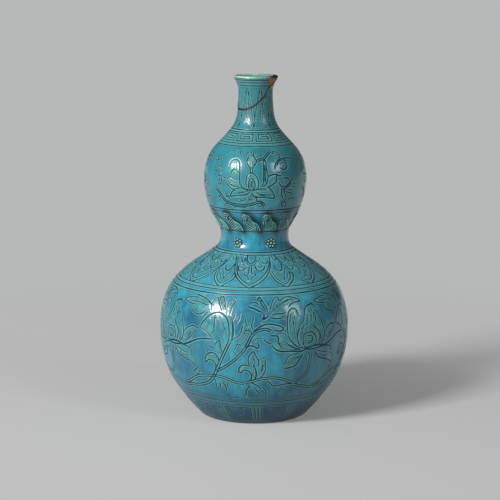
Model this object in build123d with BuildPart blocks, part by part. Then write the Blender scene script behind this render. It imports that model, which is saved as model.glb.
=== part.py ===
"""Double gourd vase: luted body sections, a mended neck and moulded appliques, in millimetres."""

from build123d import *
import math
import os

os.makedirs("parts", exist_ok=True)

# Driving dimensions of the turned outline, from the foot up
foot_radius = 47.0
belly_rise = 76.8
belly_radius = 83.7
shoulder_rise = 84.0
waist_radius = 29.95
bulb_rise = 51.0
bulb_radius = 45.25
neck_rise = 75.0
neck_radius = 15.0
lip_rise = 15.0
lip_radius = 19.3

# Walls, measured square to the outline
belly_wall = 5.6
waist_wall = 5.4
bulb_wall = 4.6
neck_wall = 3.8
lip_wall = 2.8
floor_wall = 8.0

# Foot ring under the base
foot_ring_width = 7.5
foot_recess_depth = 6.0
foot_recess_slope = 3.0
foot_bevel = 1.0
floor_radius = 34.0

# Luted joints between the sections: a layer of slip, and the bead squeezed out on the inside
slip_layer = 0.6
slip_bead_radius = 1.5

# Incised rings
ring_groove_radius = 0.45

# Lacquered break in the neck, and the lacquer fill in the lip
break_drop = 29.2
break_front_turn = 20.0
break_back_turn = 70.0
break_back_drop = 19.9
break_back_slope = 42.6
seam_rise = 1.3
fill_drop = 9.2
fill_turn = -20.0

# Rosettes round the waist, in one pair at the front and one at the back
rosette_turns = (-28.9, 27.9, 151.1, 207.9)
rosette_drop = 3.3
rosette_radius = 4.4
rosette_relief = 1.0
rosette_dot_count = 7
rosette_dot_radius = 0.85
rosette_centre_radius = 1.15
rosette_dot_ring = 3.05

# Leaf sprigs round the top of the waist
sprig_count = 13
sprig_first_turn = -12.2
sprig_height = 16.4
sprig_width = 12.0
sprig_relief = 1.3

# Slip under every applique
applique_slip = 0.05

# One overrun for every cutter
overrun = 5.0

# Halvings of the outline's length when a height is looked up on it
outline_halvings = 40

# Outline stations between neighbouring driving heights: (share of the rise, share of the change in radius)
belly_shares = (
    (0.0755, 0.147), (0.180, 0.338), (0.284, 0.501), (0.414, 0.693),
    (0.544, 0.820), (0.674, 0.910), (0.805, 0.971),
)
shoulder_shares = (
    (0.179, 0.016), (0.357, 0.088), (0.476, 0.182), (0.595, 0.337), (0.714, 0.574),
    (0.774, 0.715), (0.833, 0.846), (0.893, 0.953), (0.952, 0.993),
)
bulb_shares = (
    (0.118, 0.037), (0.216, 0.148), (0.314, 0.337), (0.412, 0.542),
    (0.510, 0.688), (0.608, 0.799), (0.804, 0.944),
)
neck_shares = (
    (0.133, 0.036), (0.267, 0.146), (0.400, 0.383), (0.467, 0.543), (0.533, 0.690),
    (0.600, 0.820), (0.667, 0.904), (0.733, 0.950), (0.800, 0.974), (0.893, 0.991),
)
lip_shares = ((0.350, 0.107), (0.735, 0.567))

# Incised rings, as shares of the rise that they lie in
belly_ring_shares = (0.279, 0.323, 0.382)
shoulder_ring_shares = (0.513, 0.551, 0.580, 0.850, 0.874)
bulb_ring_shares = (0.137, 0.486, 0.535)
neck_ring_shares = (0.413, 0.444, 0.559, 0.587)
lip_ring_shares = (0.500, 0.690, 0.850)

# Joints, as shares of the rise that they lie in; the belly and the small bulb are joined at their widest
waist_foot_joint_share = 0.895
waist_top_joint_share = 0.511
neck_joint_share = 0.380

# Break line seen from its side: (share of the neck's radius, share of the drop)
break_front_shares = (
    (-1.700, 1.010), (-1.010, 1.000), (-0.893, 0.993), (-0.687, 0.945), (-0.427, 0.863), (-0.240, 0.788),
    (-0.037, 0.685), (0.157, 0.600), (0.307, 0.497), (0.433, 0.377), (0.573, 0.308), (1.000, 0.140),
    (1.700, -0.070),
)

# Lip fill seen from its side: (share of the lip's radius, share of the drop)
fill_shares = (
    (-0.570, -0.100), (-0.520, 0.163), (-0.405, 0.610), (-0.238, 1.000), (-0.187, 0.740),
    (-0.114, 0.478), (0.078, 0.348), (0.337, 0.283), (0.570, 0.174), (0.750, -0.100),
)

# Leaf outline, up from the foot and over the hooded top: (share of half the width, share of the height)
sprig_shares = (
    (0.13, 0.00), (-0.10, 0.21), (-0.38, 0.45), (-0.60, 0.60), (-0.58, 0.80), (-0.40, 0.95), (0.00, 1.00),
    (0.42, 0.95), (0.78, 0.80), (1.05, 0.60), (1.62, 0.45), (1.87, 0.21), (1.97, 0.00),
)

belly_height = belly_rise
waist_height = belly_height + shoulder_rise
bulb_height = waist_height + bulb_rise
neck_height = bulb_height + neck_rise
lip_height = neck_height + lip_rise
lip_round = lip_wall / 2

# Anchors of the outline: height, radius and wall
anchors = (
    (0.0, foot_radius, belly_wall),
    (belly_height, belly_radius, belly_wall),
    (waist_height, waist_radius, waist_wall),
    (bulb_height, bulb_radius, bulb_wall),
    (neck_height, neck_radius, neck_wall),
    (lip_height - lip_round, lip_radius, lip_wall),
)
share_tables = (belly_shares, shoulder_shares, bulb_shares, neck_shares, lip_shares)


def outline_stations():
    """Returns (radius, height, wall) from the foot's edge to the lip's edge."""
    stations = []
    for (low, low_radius, low_wall), (high, high_radius, high_wall), shares in zip(
        anchors, anchors[1:], share_tables
    ):
        for rise_share, radius_share in ((0.0, 0.0), *shares):
            stations.append((
                low_radius + radius_share * (high_radius - low_radius),
                low + rise_share * (high - low),
                low_wall + rise_share * (high_wall - low_wall),
            ))
    last_height, last_radius, last_wall = anchors[-1]
    return stations + [(last_radius, last_height, last_wall)]


stations = outline_stations()
outline = Edge.make_spline([Vector(radius, 0, height) for radius, height, _ in stations])


def outline_at(height):
    """Returns the outline's point and its outward normal at a height, by halving along the curve."""
    low, high = 0.0, 1.0
    for _ in range(outline_halvings):
        middle = (low + high) / 2
        if outline.position_at(middle).Z < height:
            low = middle
        else:
            high = middle
    tangent = outline.tangent_at(low)
    return outline.position_at(low), Vector(tangent.Z, 0, -tangent.X)


def radius_at(height):
    """Returns the outline's radius at a height."""
    return outline_at(height)[0].X


def shifted(distance):
    """Returns the outline's stations in sketch coordinates, moved outward square to the wall."""
    points = []
    for _, height, _ in stations:
        point, normal = outline_at(height)
        points.append((point.X + distance * normal.X, point.Z + distance * normal.Z))
    return points


def inner_stations():
    """Returns the inner wall's stations, from the floor to the mouth."""
    floor_height = foot_recess_depth + floor_wall
    points = [(floor_radius, floor_height)]
    first = next(i for i, (_, height, _) in enumerate(stations) if height > floor_height)
    for _, height, wall in stations[first:-2]:
        point, normal = outline_at(height)
        points.append((point.X - wall * normal.X, point.Z - wall * normal.Z))
    return points + [(lip_radius - lip_wall, lip_height - lip_round)]


def ring_heights():
    """Returns the heights of the incised rings."""
    tables = (belly_ring_shares, shoulder_ring_shares, bulb_ring_shares, neck_ring_shares, lip_ring_shares)
    return [
        low[0] + share * (high[0] - low[0])
        for low, high, shares in zip(anchors, anchors[1:], tables)
        for share in shares
    ]


# Full cross section of the wall, closed over the lip and under the foot
with BuildSketch(Plane.XZ) as wall:
    with BuildLine():
        outer = Spline(shifted(0.0))
        ThreePointArc(
            outer @ 1, (lip_radius - lip_round, lip_height), (lip_radius - lip_wall, lip_height - lip_round)
        )
        inner = Spline(inner_stations()[::-1])
        Polyline(
            inner @ 1,
            (0, foot_recess_depth + floor_wall),
            (0, foot_recess_depth),
            (foot_radius - foot_ring_width - foot_recess_slope, foot_recess_depth),
            (foot_radius - foot_ring_width, 0),
            outer @ 0,
        )
    make_face()

# Everything inside the outline, solid to the axis
with BuildSketch(Plane.XZ) as core:
    with BuildLine():
        Spline(shifted(0.0))
        Polyline(outer @ 1, (0, lip_height - lip_round), (0, 0), outer @ 0)
    make_face()


def band(low, high):
    """Cuts the sketch in hand down to the heights between low and high."""
    with Locations((0, (low + high) / 2)):
        Rectangle(2 * (belly_radius + overrun), high - low, mode=Mode.INTERSECT)


belly_joint = belly_height
waist_foot_joint = belly_height + waist_foot_joint_share * shoulder_rise
waist_top_joint = waist_height + waist_top_joint_share * bulb_rise
bulb_joint = bulb_height
neck_joint = bulb_height + neck_joint_share * neck_rise
joints = {
    "belly": belly_joint,
    "waist_foot": waist_foot_joint,
    "waist_top": waist_top_joint,
    "bulb": bulb_joint,
    "neck": neck_joint,
}

# Body sections, each between two joints
section_ends = {
    "lower_bulb_base": (-overrun, belly_joint - slip_layer / 2),
    "lower_bulb_shoulder": (belly_joint + slip_layer / 2, waist_foot_joint - slip_layer / 2),
    "waist_collar": (waist_foot_joint + slip_layer / 2, waist_top_joint - slip_layer / 2),
    "upper_bulb_base": (waist_top_joint + slip_layer / 2, bulb_joint - slip_layer / 2),
    "upper_bulb_shoulder": (bulb_joint + slip_layer / 2, neck_joint - slip_layer / 2),
    "whole_neck": (neck_joint + slip_layer / 2, lip_height + overrun),
}
sections = {}
for name, (low, high) in section_ends.items():
    with BuildPart() as section:
        with BuildSketch(Plane.XZ):
            add(wall.sketch)
            band(low, high)
            with Locations(*((radius_at(height), height) for height in ring_heights() if low < height < high)):
                Circle(ring_groove_radius, mode=Mode.SUBTRACT)
        revolve(axis=Axis.Z)
        if low < 0:
            foot_edge = section.edges().filter_by(GeomType.CIRCLE).group_by(Axis.Z)[0].sort_by(SortBy.RADIUS)[-1]
            chamfer(foot_edge, foot_bevel)
    sections[name] = section.part

for name, part in sections.items():
    if name != "whole_neck":
        part.label = name
        export_step(part, f"parts/{name}.step")

# Slip in each joint: a thin ring right through the wall, with a rounded bead on the inside
for name, height in joints.items():
    with BuildPart() as slip:
        with BuildSketch(Plane.XZ):
            add(wall.sketch)
            band(height - slip_layer / 2, height + slip_layer / 2)
        revolve(axis=Axis.Z)
        inner_radius = slip.edges().filter_by(GeomType.CIRCLE).sort_by(SortBy.RADIUS)[0].radius
        with BuildSketch(Plane.XZ):
            with Locations((inner_radius, height)):
                Circle(slip_bead_radius)
            add(core.sketch, mode=Mode.INTERSECT)
            add(wall.sketch, mode=Mode.SUBTRACT)
        revolve(axis=Axis.Z)
    slip.part.label = f"{name}_slip_ring"
    export_step(slip.part, f"parts/{name}_slip_ring.step")


def side_plane(turn):
    """Returns the upright plane through the axis whose x axis points the way of turn, in degrees from +X."""
    direction = Vector(1, 0, 0).rotate(Axis.Z, turn)
    return Plane(origin=(0, 0, 0), x_dir=direction, z_dir=direction.cross(Vector(0, 0, 1)))


cutter_reach = lip_radius + overrun


def above_break(lift):
    """Returns the block that lies above the break surface, moved up by lift."""
    with BuildPart() as front:
        with BuildSketch(side_plane(break_front_turn)):
            with BuildLine():
                line = Spline([
                    (share * neck_radius, lip_height - drop * break_drop + lift)
                    for share, drop in break_front_shares
                ])
                top = lip_height + break_drop
                Polyline(line @ 1, ((line @ 1).X, top), ((line @ 0).X, top), line @ 0)
            make_face()
        extrude(amount=cutter_reach, both=True)
    with BuildPart() as back:
        with BuildSketch(side_plane(break_back_turn)):
            middle = lip_height - break_back_drop + lift
            climb = cutter_reach * math.tan(math.radians(break_back_slope))
            with BuildLine():
                Polyline(
                    (-cutter_reach, middle - climb),
                    (cutter_reach, middle + climb),
                    (cutter_reach, middle + climb + break_drop),
                    (-cutter_reach, middle + climb + break_drop),
                    close=True,
                )
            make_face()
        extrude(amount=cutter_reach, both=True)
        add(front.part, mode=Mode.INTERSECT)
    return back.part


# Chip out of the lip, as seen square on to its middle
with BuildPart() as chip:
    outward = Vector(1, 0, 0).rotate(Axis.Z, fill_turn)
    with BuildSketch(Plane(origin=(0, 0, 0), x_dir=Vector(0, 0, 1).cross(outward), z_dir=outward)):
        with BuildLine():
            Polyline(
                [(share * lip_radius, lip_height - drop * fill_drop) for share, drop in fill_shares],
                close=True,
            )
        make_face()
    extrude(amount=cutter_reach)

above_seam = above_break(seam_rise / 2)
with_seam = above_break(-seam_rise / 2)

with BuildPart() as neck_stump:
    add(sections["whole_neck"])
    add(with_seam, mode=Mode.SUBTRACT)
    add(chip.part, mode=Mode.SUBTRACT)
neck_stump.part.label = "neck_stump"
export_step(neck_stump.part, "parts/neck_stump.step")

with BuildPart() as neck_fragment:
    add(sections["whole_neck"])
    add(above_seam, mode=Mode.INTERSECT)
    add(chip.part, mode=Mode.SUBTRACT)
neck_fragment.part.label = "neck_fragment"
export_step(neck_fragment.part, "parts/neck_fragment.step")

with BuildPart() as break_seam:
    add(sections["whole_neck"])
    add(with_seam, mode=Mode.INTERSECT)
    add(above_seam, mode=Mode.SUBTRACT)
    add(chip.part, mode=Mode.SUBTRACT)
break_seam.part.label = "break_seam"
export_step(break_seam.part, "parts/break_seam.step")

with BuildPart() as lip_fill:
    add(sections["whole_neck"])
    add(chip.part, mode=Mode.INTERSECT)
lip_fill.part.label = "lip_fill"
export_step(lip_fill.part, "parts/lip_fill.step")


def relief_ring(relief, low, high):
    """Returns the skin between two heights that reaches from the slip on the outline to the given relief."""
    with BuildPart() as ring:
        with BuildSketch(Plane.XZ):
            with BuildLine():
                raised = Spline(shifted(relief))
                seat = Spline(shifted(applique_slip))
                Line(raised @ 0, seat @ 0)
                Line(raised @ 1, seat @ 1)
            make_face()
            band(low, high)
        revolve(axis=Axis.Z)
    return ring.part


def seat_plane(turn, height):
    """Returns the plane through the axis at a height that faces outward, with its y axis up."""
    outward = Vector(0, -1, 0).rotate(Axis.Z, turn)
    return Plane(origin=(0, 0, height), x_dir=Vector(0, 0, 1).cross(outward), z_dir=outward)


# Rosettes on the narrow part of the waist: a disc that follows the wall, with a ring of dots round a centre dot
rosette_height = waist_height - rosette_drop
rosette_low = rosette_height - rosette_radius - overrun
rosette_high = rosette_height + rosette_radius + overrun
rosette_room_relief = rosette_relief + rosette_dot_radius + rosette_centre_radius
rosette_depth = radius_at(rosette_height) + rosette_relief
rosette_seat = seat_plane(rosette_turns[0], rosette_height)
with BuildPart() as rosette:
    with BuildSketch(rosette_seat):
        Circle(rosette_radius)
    extrude(amount=rosette_depth + overrun)
    add(relief_ring(rosette_relief, rosette_low, rosette_high), mode=Mode.INTERSECT)
    with Locations(rosette_seat.offset(rosette_depth)):
        Sphere(rosette_centre_radius)
    for dot in range(rosette_dot_count):
        dot_turn = math.radians(90 + dot * 360 / rosette_dot_count)
        across = rosette_dot_ring * math.cos(dot_turn)
        up = rosette_dot_ring * math.sin(dot_turn)
        dot_depth = math.sqrt((radius_at(rosette_height + up) + rosette_relief) ** 2 - across**2)
        with Locations(rosette_seat * Location((across, up, dot_depth))):
            Sphere(rosette_dot_radius)
    add(relief_ring(rosette_room_relief, rosette_low, rosette_high), mode=Mode.INTERSECT)

# Leaf sprigs, standing on the ring under them
sprig_low = waist_height + bulb_ring_shares[0] * bulb_rise + ring_groove_radius
with BuildPart() as leaf_sprig:
    with BuildSketch(seat_plane(sprig_first_turn, sprig_low)):
        with BuildLine():
            edge = Spline([
                (width_share * sprig_width / 2, height_share * sprig_height)
                for width_share, height_share in sprig_shares
            ])
            Line(edge @ 1, edge @ 0)
        make_face()
    extrude(amount=bulb_radius + overrun)
    add(relief_ring(sprig_relief, sprig_low, sprig_low + sprig_height), mode=Mode.INTERSECT)


def copies(name, first, turns):
    """Writes the appliques of one kind, each turned round the axis from the first one's place."""
    for index, turn in enumerate(turns, start=1):
        with BuildPart() as copy:
            add(first.rotate(Axis.Z, turn))
        copy.part.label = f"{name}_{index:02d}"
        export_step(copy.part, f"parts/{name}_{index:02d}.step")


copies("rosette", rosette.part, [turn - rosette_turns[0] for turn in rosette_turns])
copies("leaf_sprig", leaf_sprig.part, [index * 360 / sprig_count for index in range(sprig_count)])
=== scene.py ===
"""Visual model of a double gourd vase: carved turquoise glaze, moulded appliques, lacquer-mended neck."""

from __future__ import annotations

import logging
import math
from dataclasses import dataclass
from enum import Enum
from typing import Callable

import bmesh
import bpy
import numpy as np
from mathutils import Matrix, Vector, noise
from mathutils.geometry import delaunay_2d_cdt
from mathutils.kdtree import KDTree

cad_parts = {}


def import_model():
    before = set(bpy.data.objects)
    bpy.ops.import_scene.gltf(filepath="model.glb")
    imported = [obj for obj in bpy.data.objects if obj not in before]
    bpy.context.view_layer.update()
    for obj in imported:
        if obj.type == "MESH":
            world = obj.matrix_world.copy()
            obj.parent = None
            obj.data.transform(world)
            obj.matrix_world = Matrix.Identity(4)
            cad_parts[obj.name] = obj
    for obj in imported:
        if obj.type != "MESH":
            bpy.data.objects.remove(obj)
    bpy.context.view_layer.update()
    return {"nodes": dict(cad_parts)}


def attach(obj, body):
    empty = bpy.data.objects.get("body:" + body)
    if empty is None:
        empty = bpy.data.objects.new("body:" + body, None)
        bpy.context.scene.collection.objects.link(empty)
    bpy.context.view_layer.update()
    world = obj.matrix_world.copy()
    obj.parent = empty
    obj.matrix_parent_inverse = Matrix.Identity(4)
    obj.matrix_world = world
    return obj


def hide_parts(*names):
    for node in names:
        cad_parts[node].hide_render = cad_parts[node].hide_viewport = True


LOG = logging.getLogger("double_gourd_vase")
MM = 0.001
FULL_TURN = 2 * math.pi
TINY = 1e-9

Array = np.ndarray
Object = bpy.types.Object
Material = bpy.types.Material
Socket = bpy.types.NodeSocket
Pair = tuple[float, float]
Triple = tuple[float, float, float]
Path = tuple[Pair, ...]
PooledAndShaded = Callable[[Array, Array], Array]

# Anchors of the turned outline in millimetres: height, radius and wall
ANCHORS = (
    (0.0, 47.0, 5.6), (76.8, 83.7, 5.6), (160.8, 29.95, 5.4), (211.8, 45.25, 4.6), (286.8, 15.0, 3.8),
    (300.4, 19.3, 2.8),
)
# Stations between neighbouring anchors: (share of the rise, share of the change in radius)
STATION_SHARES = (
    (
        (0.0755, 0.147), (0.180, 0.338), (0.284, 0.501), (0.414, 0.693), (0.544, 0.820), (0.674, 0.910),
        (0.805, 0.971),
    ),
    (
        (0.179, 0.016), (0.357, 0.088), (0.476, 0.182), (0.595, 0.337), (0.714, 0.574), (0.774, 0.715),
        (0.833, 0.846), (0.893, 0.953), (0.952, 0.993),
    ),
    (
        (0.118, 0.037), (0.216, 0.148), (0.314, 0.337), (0.412, 0.542), (0.510, 0.688), (0.608, 0.799),
        (0.804, 0.944),
    ),
    (
        (0.133, 0.036), (0.267, 0.146), (0.400, 0.383), (0.467, 0.543), (0.533, 0.690), (0.600, 0.820),
        (0.667, 0.904), (0.733, 0.950), (0.800, 0.974), (0.893, 0.991),
    ),
    ((0.350, 0.107), (0.735, 0.567)),
)
OUTLINE_STEPS = 6001
LIP_HEIGHT = 301.8
LIP_WALL = 2.8
LIP_CENTRE = LIP_HEIGHT - LIP_WALL / 2
JOINTS = {
    "foot": 1.0, "belly": 76.8, "waist_foot": 151.98, "waist_top": 186.861, "bulb": 211.8, "neck": 240.3,
}
GLAZE_LIFT = 0.12
# Unevenness of the thrown wall: size in millimetres, waves round the axis, change with height and start
WALL_WAVES = ((0.10, 2, 0.03, 1.0), (0.07, 3, -0.05, 2.0), (0.05, 5, 0.09, 0.0))
THROWING_RIDGE = 0.012
RIDGE_SPACING = 0.9
# Waver of a turned ring: size, waves round the axis and change with height
RING_WAVES = ((0.10, 2, 1), (0.05, 5, 3))

# Carving: depth of a line of width 1, the burr beside it, and the rows of points that follow it
GROOVE_DEPTH = 0.22
GROOVE_SPREAD = 0.4
DEEPEST_WIDTH = 1.3
BURR_HEIGHT = 0.012
BURR_AT = 0.85
BURR_SPREAD = 0.3
ROW_OFFSETS = (0.0, 0.33, -0.33, 0.66, -0.66, 1.15, -1.15)
ROW_STEP = 0.9
RING_STEPS = 1.5
NARROWEST_ROWS = 0.6
SAMPLE_STEP = 0.3
FAR_LINE = 4.0
THINNEST_LINE = 0.35
# A cut's open end keeps this share of its width and is full after some millimetres
END_WIDTH = 0.45
END_GROWTH = 0.55
END_LENGTH = 2.5
END_POWER = 0.7
# Petals and leaves stand this much over the ground, and sink towards their cuts over some line widths
AREA_LIFT = 0.1
AREA_EDGE = 1.2
# Veins: their places across a petal, their ends along it, their share of its length and how much they bow
VEIN_SIDES = (-0.26, -0.09, 0.09, 0.26)
VEIN_ENDS = (-0.34, 0.38)
VEIN_LENGTH = 0.72
VEIN_BOW = 1.6
VEIN_WIDTH = 0.42
SHORTEST_VEINED = 7.0
# Points this far behind the outline, in millimetres, belong to the inside
INNER_DEPTH = 1.4


class Region(Enum):
    """Bands of carving: first turn, span and number of repeats round the axis."""

    FOOT = (-3.0, 30.0, 12)
    LOWER = (-58.0, 94.0, 4)
    LAPPET = (-25.0, 360.0 / 7, 7)
    UPPER = (-60.0, 114.0, 3)
    FRET = (0.0, 36.0, 10)
    NECK = (-50.0, 45.0, 8)

    def repeat(self, index: int, points: Array) -> Array:
        """Turns drawn points to one of the repeats.

        Args:
            index: which repeat, where 0 is the drawn one.
            points: points as (degrees, millimetres).

        Returns:
            The points there.
        """
        start, span, count = self.value
        if index == 0:
            return points
        rest = (360.0 - span) / (count - 1)
        turns = start + span + (index - 1 + (points[:, 0] - start) / span) * rest
        return np.stack((turns, points[:, 1]), axis=1)


@dataclass(frozen=True)
class Stroke:
    """One incised line.

    Args:
        width: width against a plain line.
        gap: distance between two parallel lines, or 0 for a single line.
        path: points as (turn in degrees from the front, height in millimetres).
        corners: whether the line keeps its corners.
    """

    width: float
    gap: float
    path: Array
    corners: bool = False


def areas(*rows: tuple[float, ...]) -> list[Array]:
    """Returns outlines from rows that hold each point's turn and height."""
    return [np.array(row, float).reshape(-1, 2) for row in rows]


def strokes(*rows: tuple[float, ...], corners: bool = False) -> list[Stroke]:
    """Returns lines from rows that hold the width, the gap, and each point's turn and height."""
    return [Stroke(width, gap, areas(path)[0], corners) for width, gap, *path in rows]


# Turned rings: height and width
RING_HEIGHTS = (
    (21.4, 0.9), (24.8, 0.9), (29.3, 0.8), (119.9, 1.1), (123.1, 0.9), (125.5, 0.8), (148.2, 0.9),
    (150.2, 1.1), (167.8, 0.8), (185.6, 0.7), (188.1, 1.1), (242.8, 0.9), (245.1, 0.9), (253.7, 0.9),
    (255.8, 1.0), (293.6, 0.9), (296.2, 0.8), (298.4, 0.8),
)

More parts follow.
